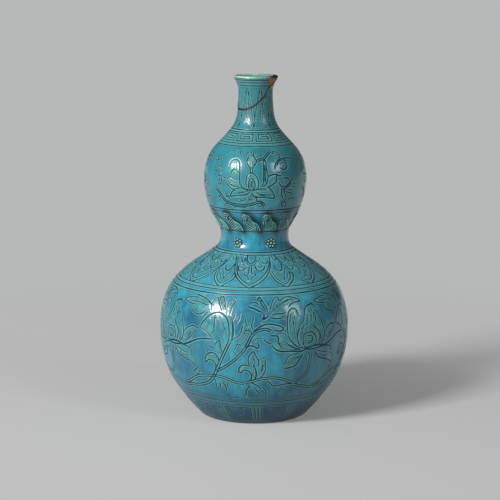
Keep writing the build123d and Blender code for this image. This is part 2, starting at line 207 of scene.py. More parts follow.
# Scroll of the lower bulb, from one lotus to the next
LOWER_STROKES = strokes(
    (1.05, 2.1, -52, 36.2, -46, 37.1, -40, 38, -35, 39.4, -30, 42.3, -26.8, 45.9, -24.8, 50, -22.6, 55.5,
     -20.8, 61, -19, 66.5, -17.4, 71.5, -15.6, 77, -14, 82),
    (1, 1.9, -23, 53.5, -19, 57, -15, 61, -11.5, 65.2, -8.3, 69.8, -5.9, 74, -4.2, 78, -2.7, 82.5, -1.2,
     86.6, 1, 89.7, 4, 91.8, 7, 92.3, 9.5, 91.2, 10.8, 89.8),
    (0.95, 2, -52, 37.4, -46, 40.5, -42, 43.5, -38, 46.3, -34, 48, -30, 48.9, -26, 49.4, -22, 49.2, -18,
     48.1, -15, 46.6, -12, 44.9, -8.5, 44, -5, 44.4, -2, 45.6, 1, 46.8, 5, 48.3, 10, 49, 15, 48.6, 19, 47,
     23, 44.7, 26.4, 42.8),
    (1, 2, 26.4, 42.6, 30, 45.3, 33.2, 48.9, 34.8, 52.5, 35.3, 57, 35.6, 61, 36, 66, 36.2, 70.5),
    (1, 2.1, 26.4, 41.6, 31, 39.4, 36, 37.9, 42, 36.2),
    (1, 0, -14.9, 82, -14.6, 87, -14.8, 92, -15.3, 96.5, -16.7, 100.8, -19.2, 104, -22, 105.2, -25, 104.3,
     -28, 102, -30.6, 98.5, -32.4, 95, -33.7, 91.2),
    (1.5, 0, -12.9, 84, -12.3, 89, -12.5, 94, -13, 98.5),
    (1.1, 0, -33.7, 91.1, -31, 89.2, -28.5, 87.2, -26.5, 84.8, -25.2, 82.8),
    (0.9, 0, -25.4, 86, -24.4, 89.5, -24.2, 94, -24.4, 98.5, -24.1, 103),
    (1.3, 0, -63, 73.2, -58, 72.3, -50, 73.1, -45.5, 74.2, -42, 76, -38, 78.8, -34, 81, -30, 81.9, -26.5,
     82, -24.5, 81.7),
    (1, 0, -46, 85, -44, 88.3, -41.3, 90.6, -38.3, 91.5, -36.3, 90.4, -34.4, 90.9),
    (0.8, 0, -45.6, 77, -42, 80, -39.2, 83.5, -37, 87, -35.6, 89.5),
    (0.6, 0, -43, 80.6, -41.4, 84, -39.4, 87.4),
    (1.1, 0, -21.2, 62, -21.3, 65.5, -22.6, 68.6, -25, 70.2, -27.6, 69.3, -29.4, 66.8, -30.2, 63.4, -29.7,
     60.9, -28.3, 63.2, -26.3, 63.8, -24.3, 62.7, -23.3, 60.2, -23.4, 56.5, -24.6, 53.4),
    (0.8, 0, -29.2, 73.8, -28.2, 71.3, -27.9, 69.3),
    (1, 0, -28.5, 78, -26.4, 75.6, -23.9, 74),
    (0.9, 0, -23.6, 74.2, -23.3, 77.5, -22.1, 80, -20.5, 82.2),
    (0.9, 0, -20.4, 82.4, -19.9, 78.5, -19.4, 74.5, -19, 71),
    (0.9, 0, -12.3, 73.3, -11, 75, -10.4, 77.4, -9.4, 79.4, -7.9, 78.9, -7, 76.5),
    (1.1, 0, -12.2, 72.8, -10.8, 71.2, -10.1, 69.2),
    (1.1, 0, -12.3, 83.4, -10, 85.2, -8.3, 87.8, -7.3, 91.2, -6.7, 95.8),
    (1, 0, -13.2, 97.5, -12.4, 100.5, -11.2, 104.8),
    (1, 0, -10.5, 96.6, -9.1, 99.6, -8.3, 105),
    (1, 0, -5.2, 101.8, -4.7, 97.8, -3.6, 94.6),
    (1.1, 0, -0.4, 91.8, -1.3, 95.2, -0.8, 98.6, -0.4, 104.2),
    (1, 0, -5.7, 88.2, -4.9, 91, -3, 91.7, -1.5, 90.3, -1.6, 87.6),
    (1.1, 0, -5.2, 76.4, -2, 78.2, 0.5, 77.6, 2, 76.1, 3, 77.6, 2.8, 80, 1.7, 81.3),
    (0.8, 0, -0.8, 81.6, 1, 84, 3.2, 84.9, 4.6, 84),
    (1.05, 0, -2.2, 60.2, -3.2, 64.5, -2.9, 68.5, -1.6, 71.5, -0.3, 73.2, 1.2, 69.8, 2.6, 66, 3.1, 62.5,
     2.6, 59.4),
    (1.05, 0, -0.3, 61.6, 0.9, 58.3, 1.7, 54.5, 1.7, 51.2, 0.9, 48.6, -0.4, 46.6),
    (1.1, 0, -2.4, 59.8, -5, 61.2, -7.4, 60.2, -8.8, 57.5, -8.8, 55, -7.9, 53.6, -6.3, 56, -4.2, 56.2, -2.3,
     54.7, -1.2, 51.8, -1.2, 49, -2.6, 46.8, -4.2, 45.7),
    (0.8, 0, 3, 65.5, 5, 67.3, 8, 68.2),
    (0.9, 0, 7.4, 67.5, 7, 62.5, 7.2, 57.5, 6.4, 53.5, 4.9, 50.4, 3, 47.8),
    (1.1, 0, -3.6, 43.4, -2.5, 41.2, -3.9, 38.6, -4.8, 35.8, -4.6, 32),
    (1.2, 0, -2, 45, 1, 43, 3.2, 41, 5.2, 38.2),
    (1.2, 0, 0.6, 39.4, 2.2, 37, 4.4, 33.6),
    (1, 0, 5, 40.8, 7.6, 38, 8.4, 34.5, 8, 30.8),
    (1, 0, -25.2, 46.8, -24.6, 42.5, -25, 38),
    (1.4, 0, -22.4, 43.4, -21.8, 40.5, -22.4, 37.8),
    (1.1, 0, -20.2, 44, -18.6, 41.2, -17.9, 37.6, -17.8, 34.4),
    (0.8, 0, -16.2, 45.6, -17, 42, -16.6, 39.6),
    (1, 0, -42, 117.4, -38.5, 116.6, -35, 115.7, -31.8, 114.3, -29.4, 112.6, -27.6, 110.6),
    (0.9, 0, -39, 114.8, -43, 115, -47, 114, -51, 112.3, -47, 110.3, -43, 109.6, -40, 109.8),
    (0.9, 0, -45, 111, -41, 111.8, -37, 111.6, -33.5, 110.6, -30.5, 110.2),
    (1, 0, -43, 109, -42.6, 106, -41, 103.6, -38.5, 102.2, -36, 101.8, -33.8, 103, -32, 104.8),
    (0.8, 0, -33.6, 94.6, -33, 98.6, -31.3, 102, -29.4, 104.8),
    (0.9, 0, -20, 106.2, -22, 110.5, -23, 114.6, -21.8, 118.4, -19.8, 116, -18.6, 112, -17.8, 107.4),
    (0.8, 0, -27.4, 106, -28.2, 110, -27.2, 114.4, -25, 117.2, -23.6, 113.6),
    (0.9, 0, -14.4, 104.5, -14.2, 108.6, -13.4, 111.8, -12, 115, -14.6, 115.8, -17, 114),
    (0.7, 0, -16.4, 105, -17, 109.6, -16.2, 113.6),
    (1.4, 0, -4, 110.8, -1.4, 110, 1, 108.8, 3.4, 107.2, 5.4, 106.4),
    (1.1, 0, -3.4, 113.2, -0.5, 114.2, 2, 113.5, 3.4, 111.8),
    (1.2, 0, 1.9, 115, 3.4, 118.2, 4.8, 116.6, 6.4, 113.4, 7.8, 110, 8.3, 106.3),
    (0.9, 0, 5, 112, 6.4, 109.4, 7.6, 106),
    (1, 0, 9.6, 106, 10.5, 110.4, 11.7, 114.2, 13.2, 117, 15.2, 118.2, 16.4, 117.3, 16.7, 114.8),
    (1.1, 0, 16.7, 114.5, 18.6, 116.5, 21.2, 117.8, 24.2, 117.9, 27.2, 117, 29.6, 115.8, 31.2, 114, 28,
     113.4, 25.4, 112.7, 23.6, 111.5, 22.2, 109.8),
    (0.8, 0, 9.4, 104.6, 11.8, 107.8, 14.6, 110.6, 17.6, 112.6, 20.4, 114, 22.6, 114.8),
    (1, 0, 11, 104.2, 14.5, 104.8, 18, 104.9, 20.2, 105.6),
    (1.1, 0, 9.4, 102, 12, 101.2, 15, 101, 17.4, 100.9),
    (1.4, 0, 5.6, 106, 6.2, 103.6, 5.4, 100.6, 7.2, 101.8, 9.4, 103.6),
    (1.2, 0, -0.4, 90.6, 2.6, 93.6, 5.8, 95.9, 9.4, 96.7, 13, 95.8, 16.3, 94.2, 17.8, 92.2, 16.8, 90.8, 14,
     90.8, 11.6, 91.9),
    (0.8, 0, 2.8, 96, 3.6, 98.8, 5.2, 100.6),
    (1.1, 0, 10.6, 79.8, 8.6, 80.6, 6.8, 82.4, 5.8, 85.2),
    (1.3, 0, 10.8, 79, 11.9, 76.2, 13.6, 74.3, 16.2, 72.9, 20.2, 72.5, 25, 72, 29, 71.5, 32, 72.4),
    (1.2, 0, 9.4, 86.8, 12, 86.7, 14, 86, 14.7, 84, 14.4, 81.4, 15.4, 78.6, 17.2, 76),
    (0.9, 0, 14, 88.2, 16.4, 88.7, 18.6, 87.4, 20.2, 85.2),
    (1.1, 0, 20.6, 86.6, 22.4, 81.6, 25, 77.6, 28, 75, 31, 74),
    (0.8, 0, 19.6, 79.6, 22, 76.6, 25, 74.6, 28.4, 73.4),
    (1, 0, 20.7, 87, 20.3, 92, 20.4, 98, 21.1, 103, 22.4, 106.6, 24.6, 108.6, 26.6, 108, 27.8, 105.6, 28,
     101),
    (0.8, 0, 24.3, 86.5, 24.8, 90.5, 24.4, 94.5, 24.8, 98.5),
    (1.1, 0, 28.4, 92.4, 27, 88, 26.6, 84, 27.2, 79.4, 28.8, 76),
    (1.1, 0, 28.3, 93.2, 30.1, 95.6, 31.6, 98.6, 32.4, 102, 33, 104.8, 33.8, 107.4, 35.6, 109.4, 38.2,
     110.3, 40.6, 109.6, 42, 107),
    (1, 0, 32.6, 74.6, 31.2, 76.2, 30.4, 80.4, 31, 85.2, 34, 87.1, 36.8, 87, 39, 85, 40.1, 81.4, 39.7, 77.6,
     38.4, 75.4),
    (0.7, 0, 33.2, 84.6, 35.6, 84.6, 37.2, 82.4, 36.8, 79.4, 34.6, 78.4, 33.4, 80.4),
    (0.8, 0, 36, 95.4, 37.4, 98.4, 37.6, 101.6, 36.4, 104.8),
    (0.7, 0, 34.2, 94.8, 34.4, 99, 35.2, 103),
    (0.7, 0, 40.2, 95, 40.8, 99, 40, 103.4),
    (1.2, 0, 37.6, 94, 39.4, 91.2, 41.6, 87.9, 42.9, 84, 42.6, 79.6, 41.3, 76.2),
    (0.9, 0, -51.7, 75, -49.9, 78, -49.7, 82, -50.9, 86.2),
    (1.1, 0, -49.8, 75.2, -47.6, 79, -46.5, 84, -47.2, 89.6, -48.4, 95, -49.8, 99.6),
    (0.9, 0, -49.8, 99.6, -51, 103.4, -53.4, 105.8),
    (1.4, 0, 31, 73.8, 36, 74.6, 41, 75.2, 45, 74.6, 49, 73.6),
    (0.9, 0, -47, 73, -43.5, 72.8, -40.6, 71.4, -40, 69, -40.5, 66.4, -38.9, 64.8, -37.2, 61.4, -37, 57.8),
    (1.2, 0, -55, 69.6, -53, 67, -51, 63.8, -48, 62.4, -44, 60.6, -41, 59.4, -38.4, 57.2, -36.4, 55.4),
    (0.8, 0, -54, 71, -50, 69.2, -46.6, 67.6, -43, 67),
    (0.7, 0, -50, 65.6, -46.4, 64.6, -43.2, 64.2),
    (1.2, 0, -39.8, 50.4, -37.6, 53.4, -36.4, 55.2),
    (0.9, 0, -35.4, 53.2, -36, 50, -38.6, 47.8),
    (0.9, 0, 28, 69.8, 25, 69.6, 22.4, 68.8, 20.4, 66.8, 19.6, 63.6, 18.5, 60),
    (1.3, 0, 18.6, 57.4, 21, 57.4, 24, 58.2, 26.6, 60, 27.6, 62.6, 28.6, 65.4, 30.6, 68.4),
    (0.8, 0, 21.8, 60.6, 23.4, 63.4, 26, 65.8, 29, 67.4),
    (1.1, 0, 8, 46.4, 10.4, 44.4, 12.2, 41.6, 17, 41.7, 22, 42.5, 25.4, 42.2),
    (0.8, 0, 12.4, 38.8, 17, 37.8, 22, 36.2, 27, 35.6),
    (0.8, 0, 33.6, 62, 32.6, 65.4, 31.6, 69),
    (0.8, 0, 38, 62.4, 39.4, 66, 40.6, 69.4),
    (0.6, 0, 15, 75.8, 19, 74.5, 24, 73.5, 29, 72.9),
    (0.6, 0, 17.6, 82.4, 20.4, 79, 24.4, 76),
    (0.6, 0, 22.3, 90, 22, 96, 22.6, 101.6, 24.2, 105),
    (0.8, 0, 36.4, 108.4, 38.6, 110.8, 41.4, 111),
    (0.7, 0, 38.8, 96.6, 39.6, 100.6, 39, 105.4),
    (0.7, 0, 29.6, 90, 32, 93.2, 35, 94.2),
    (0.6, 0, 20.4, 60.6, 21.6, 63.4, 24.4, 66.6),
    (0.5, 0, -18, 86, -17.8, 92, -19, 98),
    (0.5, 0, -29.6, 89, -28.4, 94, -28.6, 98.4),
    (0.6, 0, 12.6, 108, 14.6, 111.6, 15.4, 115),
    (0.6, 0, 19, 114.6, 22.6, 115.8, 26.6, 115.4),
    (0.6, 0, 4, 115.4, 5.2, 112, 6.6, 108.4),
    (0.6, 0, -0.3, 70.4, 0.2, 66, 0.4, 62),
    (0.6, 0, 5.2, 65.4, 5.4, 60, 4.6, 54.6),
)
LOWER_AREAS = areas(
    (-14.9, 82, -14.8, 92, -16.7, 100.8, -22, 105.2, -28, 102, -33.7, 91.2, -25.2, 82.8, -24.4, 89.5, -23,
     84, -19, 74),
    (-45.6, 77, -46, 85, -41.3, 90.6, -36.3, 90.4, -39.2, 83.5),
    (-21.2, 62, -22.6, 68.6, -25, 70.2, -29.4, 66.8, -29.7, 60.9, -26.3, 63.8, -23.3, 60.2),
    (-23.6, 74.5, -22.1, 80, -20.4, 82.4, -19, 71),
    (-12.3, 83.4, -8.3, 87.8, -6.7, 95.6, -3.6, 94.6, -1.5, 90.3, -4, 84, -8, 80),
    (-2.2, 60.2, -2.9, 68.5, -0.3, 73, 2.6, 66, 2.6, 59.6, 1.7, 53, -0.4, 47),
    (-2.4, 59.8, -5, 61.2, -8.8, 57.5, -7.9, 53.8, -4.2, 56.2, -1.2, 51.8),
    (3, 65.5, 8, 68.2, 7, 62.5, 7.2, 57.5, 4.9, 50.4, 3, 55),
    (1.9, 115, 3.4, 118.2, 6.4, 113.4, 8.3, 106.3, 5, 109),
    (9.6, 106, 11.7, 114.2, 15.2, 118.2, 16.7, 114.8, 21.2, 117.8, 27.2, 117, 31.2, 114, 25.4, 112.7, 17.6,
     108, 12, 104.4),
    (-0.4, 90.6, 5.8, 95.9, 13, 95.8, 17.8, 92.2, 14, 90.8, 8, 93),
    (10.8, 79, 13.6, 74.3, 20.2, 72.5, 31.5, 71.8, 31, 74, 25, 77.6, 20.6, 86.6, 16.4, 88.7, 14.7, 84),
    (20.7, 87, 20.4, 98, 22.4, 106.6, 26.6, 108, 28, 101, 28.4, 92.4, 26.6, 84, 28, 75.6),
    (28.3, 93.2, 31.6, 98.6, 33.8, 107.4, 38.2, 110.3, 42, 107, 42.4, 92, 42.9, 84, 41, 76, 31, 74, 27, 80,
     27, 88),
    (31, 75.6, 30.4, 80.4, 31, 85.2, 36, 87.1, 40.1, 81.4, 39, 75.6),
    (-51.7, 75, -50, 86, -52, 100, -49.8, 99.6, -46.5, 84, -49.8, 75.2),
    (-54, 71, -43.5, 72.8, -40, 69, -37.2, 61.4, -36.4, 55.4, -41, 59.4, -51, 63.8),
    (28, 69.8, 22.4, 68.8, 18.5, 60, 18.6, 57.4, 24, 58.2, 27.6, 62.6, 30.4, 68.2),
    (-39, 114.8, -51, 112.3, -43, 109.6, -41, 103.6, -36, 101.8, -27.6, 110.6, -31.8, 114.3),
    (-20, 106.2, -23, 114.6, -21.8, 118.4, -18.6, 112, -17.6, 107.4),
)

# One wide and one narrow lappet, hanging from the ring at the foot of the waist
LAPPET_STROKES = strokes(
    (1.1, 0, -24.4, 148, -22, 143.4, -19.6, 138.6, -16.6, 134, -12.6, 130.6, -8, 127.4, -3.9, 125.3),
    (1, 0, -21.4, 147.4, -19.4, 142.6, -17, 137.8, -13.8, 133.8, -9.8, 130.8, -6, 128.8, -3.8, 127.8),
    (1.1, 0, 19.8, 147.6, 18, 142.6, 15.4, 138.4, 12, 134.8, 7.4, 130.9, 2, 127.6, -3.8, 125.3),
    (1, 0, 17.8, 144.4, 15.6, 141, 12.4, 137.6, 8.6, 134.4, 4.4, 131.6, -0.4, 128.8, -3.8, 127.8),
    (1.2, 0, -9.4, 148, -8.8, 145.4, -7.2, 143.4, -4.6, 142.4, -2, 142.7, 0.2, 144.2, 1.3, 146.2, 1.5, 148),
    (0.8, 0, -11, 146.4, -9.4, 143.4, -6.8, 141.6, -3.8, 141.1, -0.6, 141.6, 1.8, 143.2, 3.2, 146),
    (1, 0, -5.2, 141, -5.2, 137.4, -5.2, 135.7, -7.4, 134, -8.8, 135.2, -8.6, 136.4),
    (0.9, 0, -7.6, 134, -5.8, 133.4, -4.8, 131.4),
    (1, 0, -2.9, 141, -2.9, 137.4, -2.6, 135.8, -0.4, 135.2, 1.4, 135.1, 0.6, 133.8, -1.4, 133.5, -2.2,
     131.8, -3.2, 131.2),
    (1.1, 0, -16.4, 141.4, -16.2, 139.2, -14.8, 137.4, -12.2, 137, -10, 138.2, -8.4, 139.8),
    (0.7, 0, -14, 140.6, -12.6, 139, -10.8, 140.4, -12.2, 141.8, -14.4, 142),
    (1.1, 0, 0.3, 141.2, 1.6, 139, 3.2, 137.6, 5.6, 137.1, 8, 137.8, 10, 139.1, 10.5, 141),
    (0.7, 0, 3.6, 141.2, 5.4, 139.4, 7.4, 140.4, 6.4, 142, 4.6, 142.2),
    (0.8, 0, 5.2, 147.2, 7.2, 146, 5.8, 144.8, 4.4, 143.8, 6.2, 143.2, 8.4, 143.8),
    (1, 0, 8.6, 144.6, 10.2, 142.6, 13, 142.2, 15.2, 143.6, 15.8, 145.8),
    (0.9, 0, 9.6, 147.2, 12, 147.2),
    (0.9, 0, -20.4, 146.8, -17.4, 146.6, -15, 144.9, -13, 143.2, -11.6, 144.7, -13, 146.4),
    (0.8, 0, -19, 143.2, -17.2, 142.4, -15.2, 142.9),
    (0.6, 0, -18, 144.9, -16.4, 144.2, -14.8, 146.6),
    (1.1, 0, 14.8, 136, 15.4, 133.6, 16.8, 131, 19.4, 128.6, 22.4, 126.6, 25.4, 125.3, 28.6, 127.2, 31.6,
     129.2, 34.2, 131.6, 35.8, 134.6),
    (0.9, 0, 17, 137.2, 17.6, 133.8, 19.2, 131.2, 21.6, 129.2, 24.9, 127.7, 28, 129.2, 30.8, 131.2, 32.8,
     134, 33.6, 136.6),
    (1.3, 0, 20, 141, 21.6, 138.6, 23.6, 137.2, 25.6, 136.9, 27.8, 138.2, 29.4, 140.4, 30, 142),
    (0.7, 0, 18.6, 139.6, 20.4, 136.8, 22.6, 134.8, 24.6, 132, 26.2, 130.2),
    (0.7, 0, 31.8, 140, 29.6, 136.8, 27.4, 134.4, 25.6, 131.6, 24, 129.8),
    (0.6, 0, 19.6, 134.8, 21.6, 132.6, 23.2, 130.4),
    (0.6, 0, 31.4, 135.4, 29.4, 133, 27.2, 130.4),
    (0.8, 0, 22.8, 148, 23.8, 145.4, 25.6, 144.4, 27.4, 145.6, 28.4, 148),
)
LAPPET_AREAS = areas(
    (-24.4, 148, -19.6, 138.6, -12.6, 130.6, -3.9, 125.3, -3.8, 127.8, -9.8, 130.8, -17, 137.8, -21.4,
     147.6),
    (19.8, 147.8, 15.4, 138.4, 7.4, 130.9, -3.8, 125.3, -3.8, 127.8, 4.4, 131.6, 12.4, 137.6, 17.4, 147.6),
    (-20.4, 148, -16.4, 141.4, -12, 141.8, -9.4, 143.4, -10.8, 148),
    (3.2, 148, 3, 143, 10.5, 141, 17.4, 147.8),
    (14.8, 136, 16.8, 131, 25.4, 125.3, 34.2, 131.6, 35.8, 134.6, 33.6, 136.6, 30.8, 131.2, 24.9, 127.7,
     19.2, 131.2, 17, 137.2),
    (-5.2, 141, -5.2, 135.7, -8.6, 135.2, -4.8, 131.4, -3.2, 131.2, 1.4, 135.1, -2.7, 135.8, -2.9, 141),
    (20, 147.6, 19.6, 142, 25, 142.4, 30.4, 142.2, 30.6, 147.6),
)

# Lotus and scroll of the upper bulb
UPPER_STROKES = strokes(
    (1, 0, -5.6, 207.4, -6.9, 209, -6.9, 212, -5.8, 215.4, -3.6, 216.7, -1.2, 215, 0.1, 212, -0.2, 209,
     -1.6, 207.4),
    (1, 0, -9.2, 208.6, -9.8, 213.6, -8.9, 217.8, -6.8, 220.5, -3.8, 221.3, -0.6, 220.2, 2.2, 217.6, 3.8,
     213.8, 4.1, 209),
    (0.6, 0, -4.6, 210, -3.6, 213, -2.6, 210.4),
    (1.1, 0, -5, 222, -5.6, 225.4, -8, 228.2, -9.5, 230.6, -8.9, 233, -7.2, 235),
    (1.1, 0, -3, 222, -2.2, 225, -0.2, 228, 1.5, 230.6, 0.6, 233, -1.6, 235.2, -2.2, 238.6),
    (0.8, 0, -10.2, 234, -10.8, 236.6, -9.4, 238.4, -7.8, 236.8),
    (0.7, 0, -6.4, 235.8, -5.4, 238.6, -4, 236.4),
    (0.8, 0, 2.2, 233.6, 3.6, 236.4, 1.6, 238.8),
    (1.3, 0, -14.8, 208.4, -11, 207.2, -6, 206.5, -1, 206.6, 4, 207.3, 8, 207.5, 13.6, 207),
    (1, 0, 5.4, 209, 8.2, 210.8, 9.2, 214, 9.1, 220, 9.4, 226, 9.7, 230.4, 11.2, 232.2, 12.6, 230, 13.1,
     225, 14.2, 221, 14.3, 216.6, 12.9, 213, 10.8, 210.6, 8.4, 208.8),
    (1.2, 0, 14.2, 217.4, 16.6, 218.9, 20, 219.6, 24, 219.4, 28, 218.6, 31.4, 218.1),
    (1.1, 0, 14, 208.9, 18.4, 210.4, 22, 212.4, 24.5, 214.9, 24, 217.2, 26.4, 218.6),
    (1.1, 0, 13.6, 208.6, 17.2, 207.5, 19.6, 205, 21.4, 202.4, 22.8, 199.4, 20.4, 198.9, 14, 199.7, 8,
     200.1, 3, 200.4, 0, 201.4),
    (0.9, 0, 1.6, 204.6, 6, 202.6, 12, 202.1, 18.4, 202.1),
    (1, 0, -16.2, 211.6, -17, 216, -17, 221, -17.6, 226, -18.6, 230, -21.6, 232.2, -25, 232.4, -28.4, 231.4,
     -30.8, 228.8, -31, 225.8),
    (0.9, 0, -27.4, 218.4, -27.2, 221.6, -25.4, 223.3, -22, 222.7, -17.6, 221),
    (0.9, 0, -32.6, 215.4, -29.4, 217, -26.6, 216.6, -23, 215.3, -18, 214.2),
    (1.1, 0, -17.4, 213.4, -15.2, 210, -12.4, 207.8),
    (1, 0, -33.8, 213.4, -31.2, 210.2, -28, 208, -24.8, 206.7, -20, 207.4, -16, 208.6),
    (0.9, 0, -31.4, 213.8, -29, 212, -26.4, 210, -23.4, 209, -18.6, 209.6),
    (1.1, 0, -22.4, 206.2, -25, 205, -27, 203.2, -28.6, 200.5, -24, 200.8, -18, 201.4, -12, 202, -8, 203.3,
     -4.6, 205.2),
    (0.8, 0, -24, 203, -18, 203.8, -12, 204.4),
    (1.1, 0, -8.6, 202.2, -6.6, 199.8, -6.6, 197.2, -7.4, 195.8),
    (1.1, 0, -4, 204.6, -2, 202, 1.6, 199.6, 2.2, 196.6),
    (0.8, 0, -4.2, 203, -4.4, 198.6, -3, 195.4),
    (1.1, 1.8, -49, 207.4, -46, 204.8, -44, 203.4, -41, 200.4, -38.4, 197.6, -35.4, 195.8, -32, 194.4, -28,
     193.5, -20, 192.9, -12, 192.9, -5, 193.4, 1, 195, 6, 195.6, 10, 194, 12, 190.6),
    (1, 0, -36, 203.8, -33.4, 202, -30.4, 199.6, -28.8, 197.4),
    (0.8, 0, -35.4, 200.6, -32.6, 199.4, -30.6, 201.2),
    (1, 0, -47.6, 197.4, -44.4, 199.2, -41.6, 200.4),
    (0.8, 0, -46.6, 194.4, -43.4, 196.6, -40.8, 199.2),
    (0.8, 0, -40, 190.6, -36.4, 192.8, -33, 193.4),
    (0.8, 0, -27, 190.2, -22, 191, -16, 190.8, -9, 191),
    (0.9, 0, -16, 196.4, -12, 197.6, -9.4, 200.4),
    (0.9, 0, -21.4, 197.2, -18, 198.6, -15.4, 196.6, -18.4, 195.6, -21, 197),
    (0.9, 0, 4.6, 197.4, 7.2, 196.2, 8.4, 193, 6, 192, 3, 193.2),
    (1.1, 0, -40, 218.2, -36.4, 216.5, -33.4, 215.5),
    (1, 0, -44.2, 218, -41.4, 217.4, -39.6, 214.2, -39.8, 211.6, -42.4, 209.8, -44.6, 211.8, -44.4, 214.8),
    (0.9, 0, -49, 219.6, -45.6, 217.8, -42.6, 217.2),
    (0.9, 0, -53, 222.6, -50, 221, -47.4, 224.4, -44.6, 226.4, -41.6, 224.6, -41, 220.6),
    (0.7, 0, -47, 222.6, -45, 223.8, -43.2, 222.4),
    (0.9, 0, -57.6, 234.6, -53, 233.2, -50, 230.6, -46, 231.4, -42.4, 232.6, -38, 234.4, -34, 237),
    (0.9, 0, -57, 231.4, -54, 230, -50, 230.2),
    (1, 1.6, 1.6, 230.8, 6, 232.4, 10, 233.2, 14, 235.4, 18, 237.6, 21.6, 239),
    (1, 0, 22, 238.4, 26, 238.6, 30, 237.9, 33, 236.4, 33.2, 234.6, 30.4, 233.4, 27.4, 234),
    (0.8, 0, -34, 237.6, -31.6, 239.2, -28.6, 238.4, -27.8, 236.2),
    (0.8, 0, -20.6, 235.4, -19.4, 238, -21.8, 239.8, -24.6, 239.2),
    (1.2, 0, 22.9, 223.6, 23.6, 226.6, 25.6, 229.4, 28.2, 231.1, 31.4, 232.2, 36, 232.8, 42, 232.9, 48,
     232.3, 52, 231),
    (0.9, 0, 25.4, 226, 27, 228.4, 30, 230.3, 34, 231.4, 38.6, 231.4, 43, 230.6),
    (1.1, 0, 30.2, 225.2, 32.6, 223.9, 36, 223.6, 38.8, 224.6, 40.4, 226.4, 40, 228.4, 37.6, 229.6, 34.4,
     229.6, 31.4, 228.4),
    (1.1, 0, 37.2, 228, 39.2, 228.2, 41.4, 227.6),
    (1.1, 0, 37.2, 226.6, 38.4, 225.8, 39.6, 225.9),
    (0.8, 0, 36.8, 230.7, 39, 230.9, 41, 230.3),
    (0.7, 0, 24.6, 222.6, 27, 221, 29.4, 221.4, 30.6, 222.8),
    (1.2, 0, 27.6, 213, 28.6, 210.8, 30.4, 209.2, 33.4, 208.8, 37.4, 209.6, 41, 211.6, 44, 214.6, 46.4,
     216.8),
    (1.3, 0, 31.4, 206.8, 34.4, 206.7, 38, 208, 41.6, 209.8, 44, 212.2),
    (1, 0, 30.3, 213, 32.6, 215.6, 36.4, 216.5, 40, 215.4, 41.4, 212.9),
    (1.3, 0, 34.6, 214.9, 36.4, 215.1),
    (1.3, 0, 37.8, 215.1, 39.6, 214.9),
    (0.7, 0, 31.6, 211.2, 33.6, 212.8, 36.4, 213.2, 38.8, 212),
    (1.1, 0, 31, 208.4, 30.7, 204.6, 31.6, 201, 33.2, 198.6),
    (1.1, 0, 31.4, 197.2, 32.4, 193.8, 35.4, 190.4),
    (1, 0, 38.8, 196, 38.8, 193, 40.6, 190.6),
    (1, 0, 33, 205.8, 35, 202.8, 37.4, 199.8, 37.2, 198.4),
    (1.1, 0, 34.6, 198.6, 34, 196.4, 35.2, 194.5, 36.7, 196, 36.2, 198.4),
    (0.9, 0, 34.4, 205.6, 38, 203.8, 42, 203.2, 46, 201.8, 49.6, 199.8),
    (1, 0, 40, 198.2, 44, 197.3, 48.4, 198, 51.6, 196.6),
    (0.8, 0, 39.4, 206.2, 43, 205.6, 46.6, 204.2),
    (1, 0, 46.2, 212.8, 48.4, 210.8, 51.2, 210),
    (0.9, 0, 45, 208, 47.6, 208.4, 50.6, 207.2),
    (0.8, 0, 46.8, 214.2, 48.8, 215.2, 50.8, 213.8),
    (0.7, 0, 24.6, 209.4, 26.4, 206.8, 26.2, 203.6, 24.4, 201.4),
)
UPPER_AREAS = areas(
    (-5.6, 207.4, -6.9, 212, -3.6, 216.7, 0.1, 212, -1.6, 207.4),
    (-9.2, 208.6, -9.6, 215, -6.8, 220.5, -3.8, 221.3, 2.2, 217.6, 4.1, 209, 0.1, 209, -1, 215, -3.6, 216.7,
     -6.6, 214, -6.8, 208),
    (-5.4, 224, -9.5, 230.6, -7.2, 235, -1.6, 235.2, 1.5, 230.6, -2.4, 224),
    (8.2, 210.8, 9.1, 220, 9.7, 230.4, 12.6, 230, 14.2, 221, 12.9, 213),
    (14, 208.9, 22, 212.4, 24.5, 214.9, 26, 218.4, 20, 219.6, 14.2, 217.4, 12.9, 213),
    (13.6, 208.6, 19.6, 205, 22.8, 199.4, 8, 200.1, 0, 201.4, -1, 206.4),
    (-17, 221, -18.6, 230, -25, 232.4, -30.8, 228.8, -31, 225.8, -27.4, 218.4),
    (-33.8, 213.4, -28, 208, -24.8, 206.7, -16, 208.6, -17.4, 213.4, -29.4, 217),
    (-22.4, 206.2, -28.6, 200.5, -18, 201.4, -4.6, 205.2, -6, 206.5),
    (-8.6, 202.2, -7, 196, -3, 195.4, 2.2, 196.6, 1.6, 199.6, -4, 204.6),
    (30, 225.8, 35.4, 229.5, 39.9, 226.2, 34.8, 223.6),
    (22, 238.4, 30, 237.9, 33.2, 234.6, 27.4, 234, 22, 236),
    (-44.2, 218, -39.6, 214.2, -42.4, 209.8, -44.6, 211.8),
    (-36, 203.8, -28.8, 197.4, -32.6, 196, -37, 199),
)

# One key of the fret round the foot of the neck
FRET_STROKES = strokes(
    (0.9, 0, 1.4, 252.5, 1.4, 246.9, 31.4, 246.9, 31.4, 252.4, 6, 252.4, 6, 248.7, 25.6, 248.7, 25.6, 250.6,
     11, 250.6),
    corners=True,
)

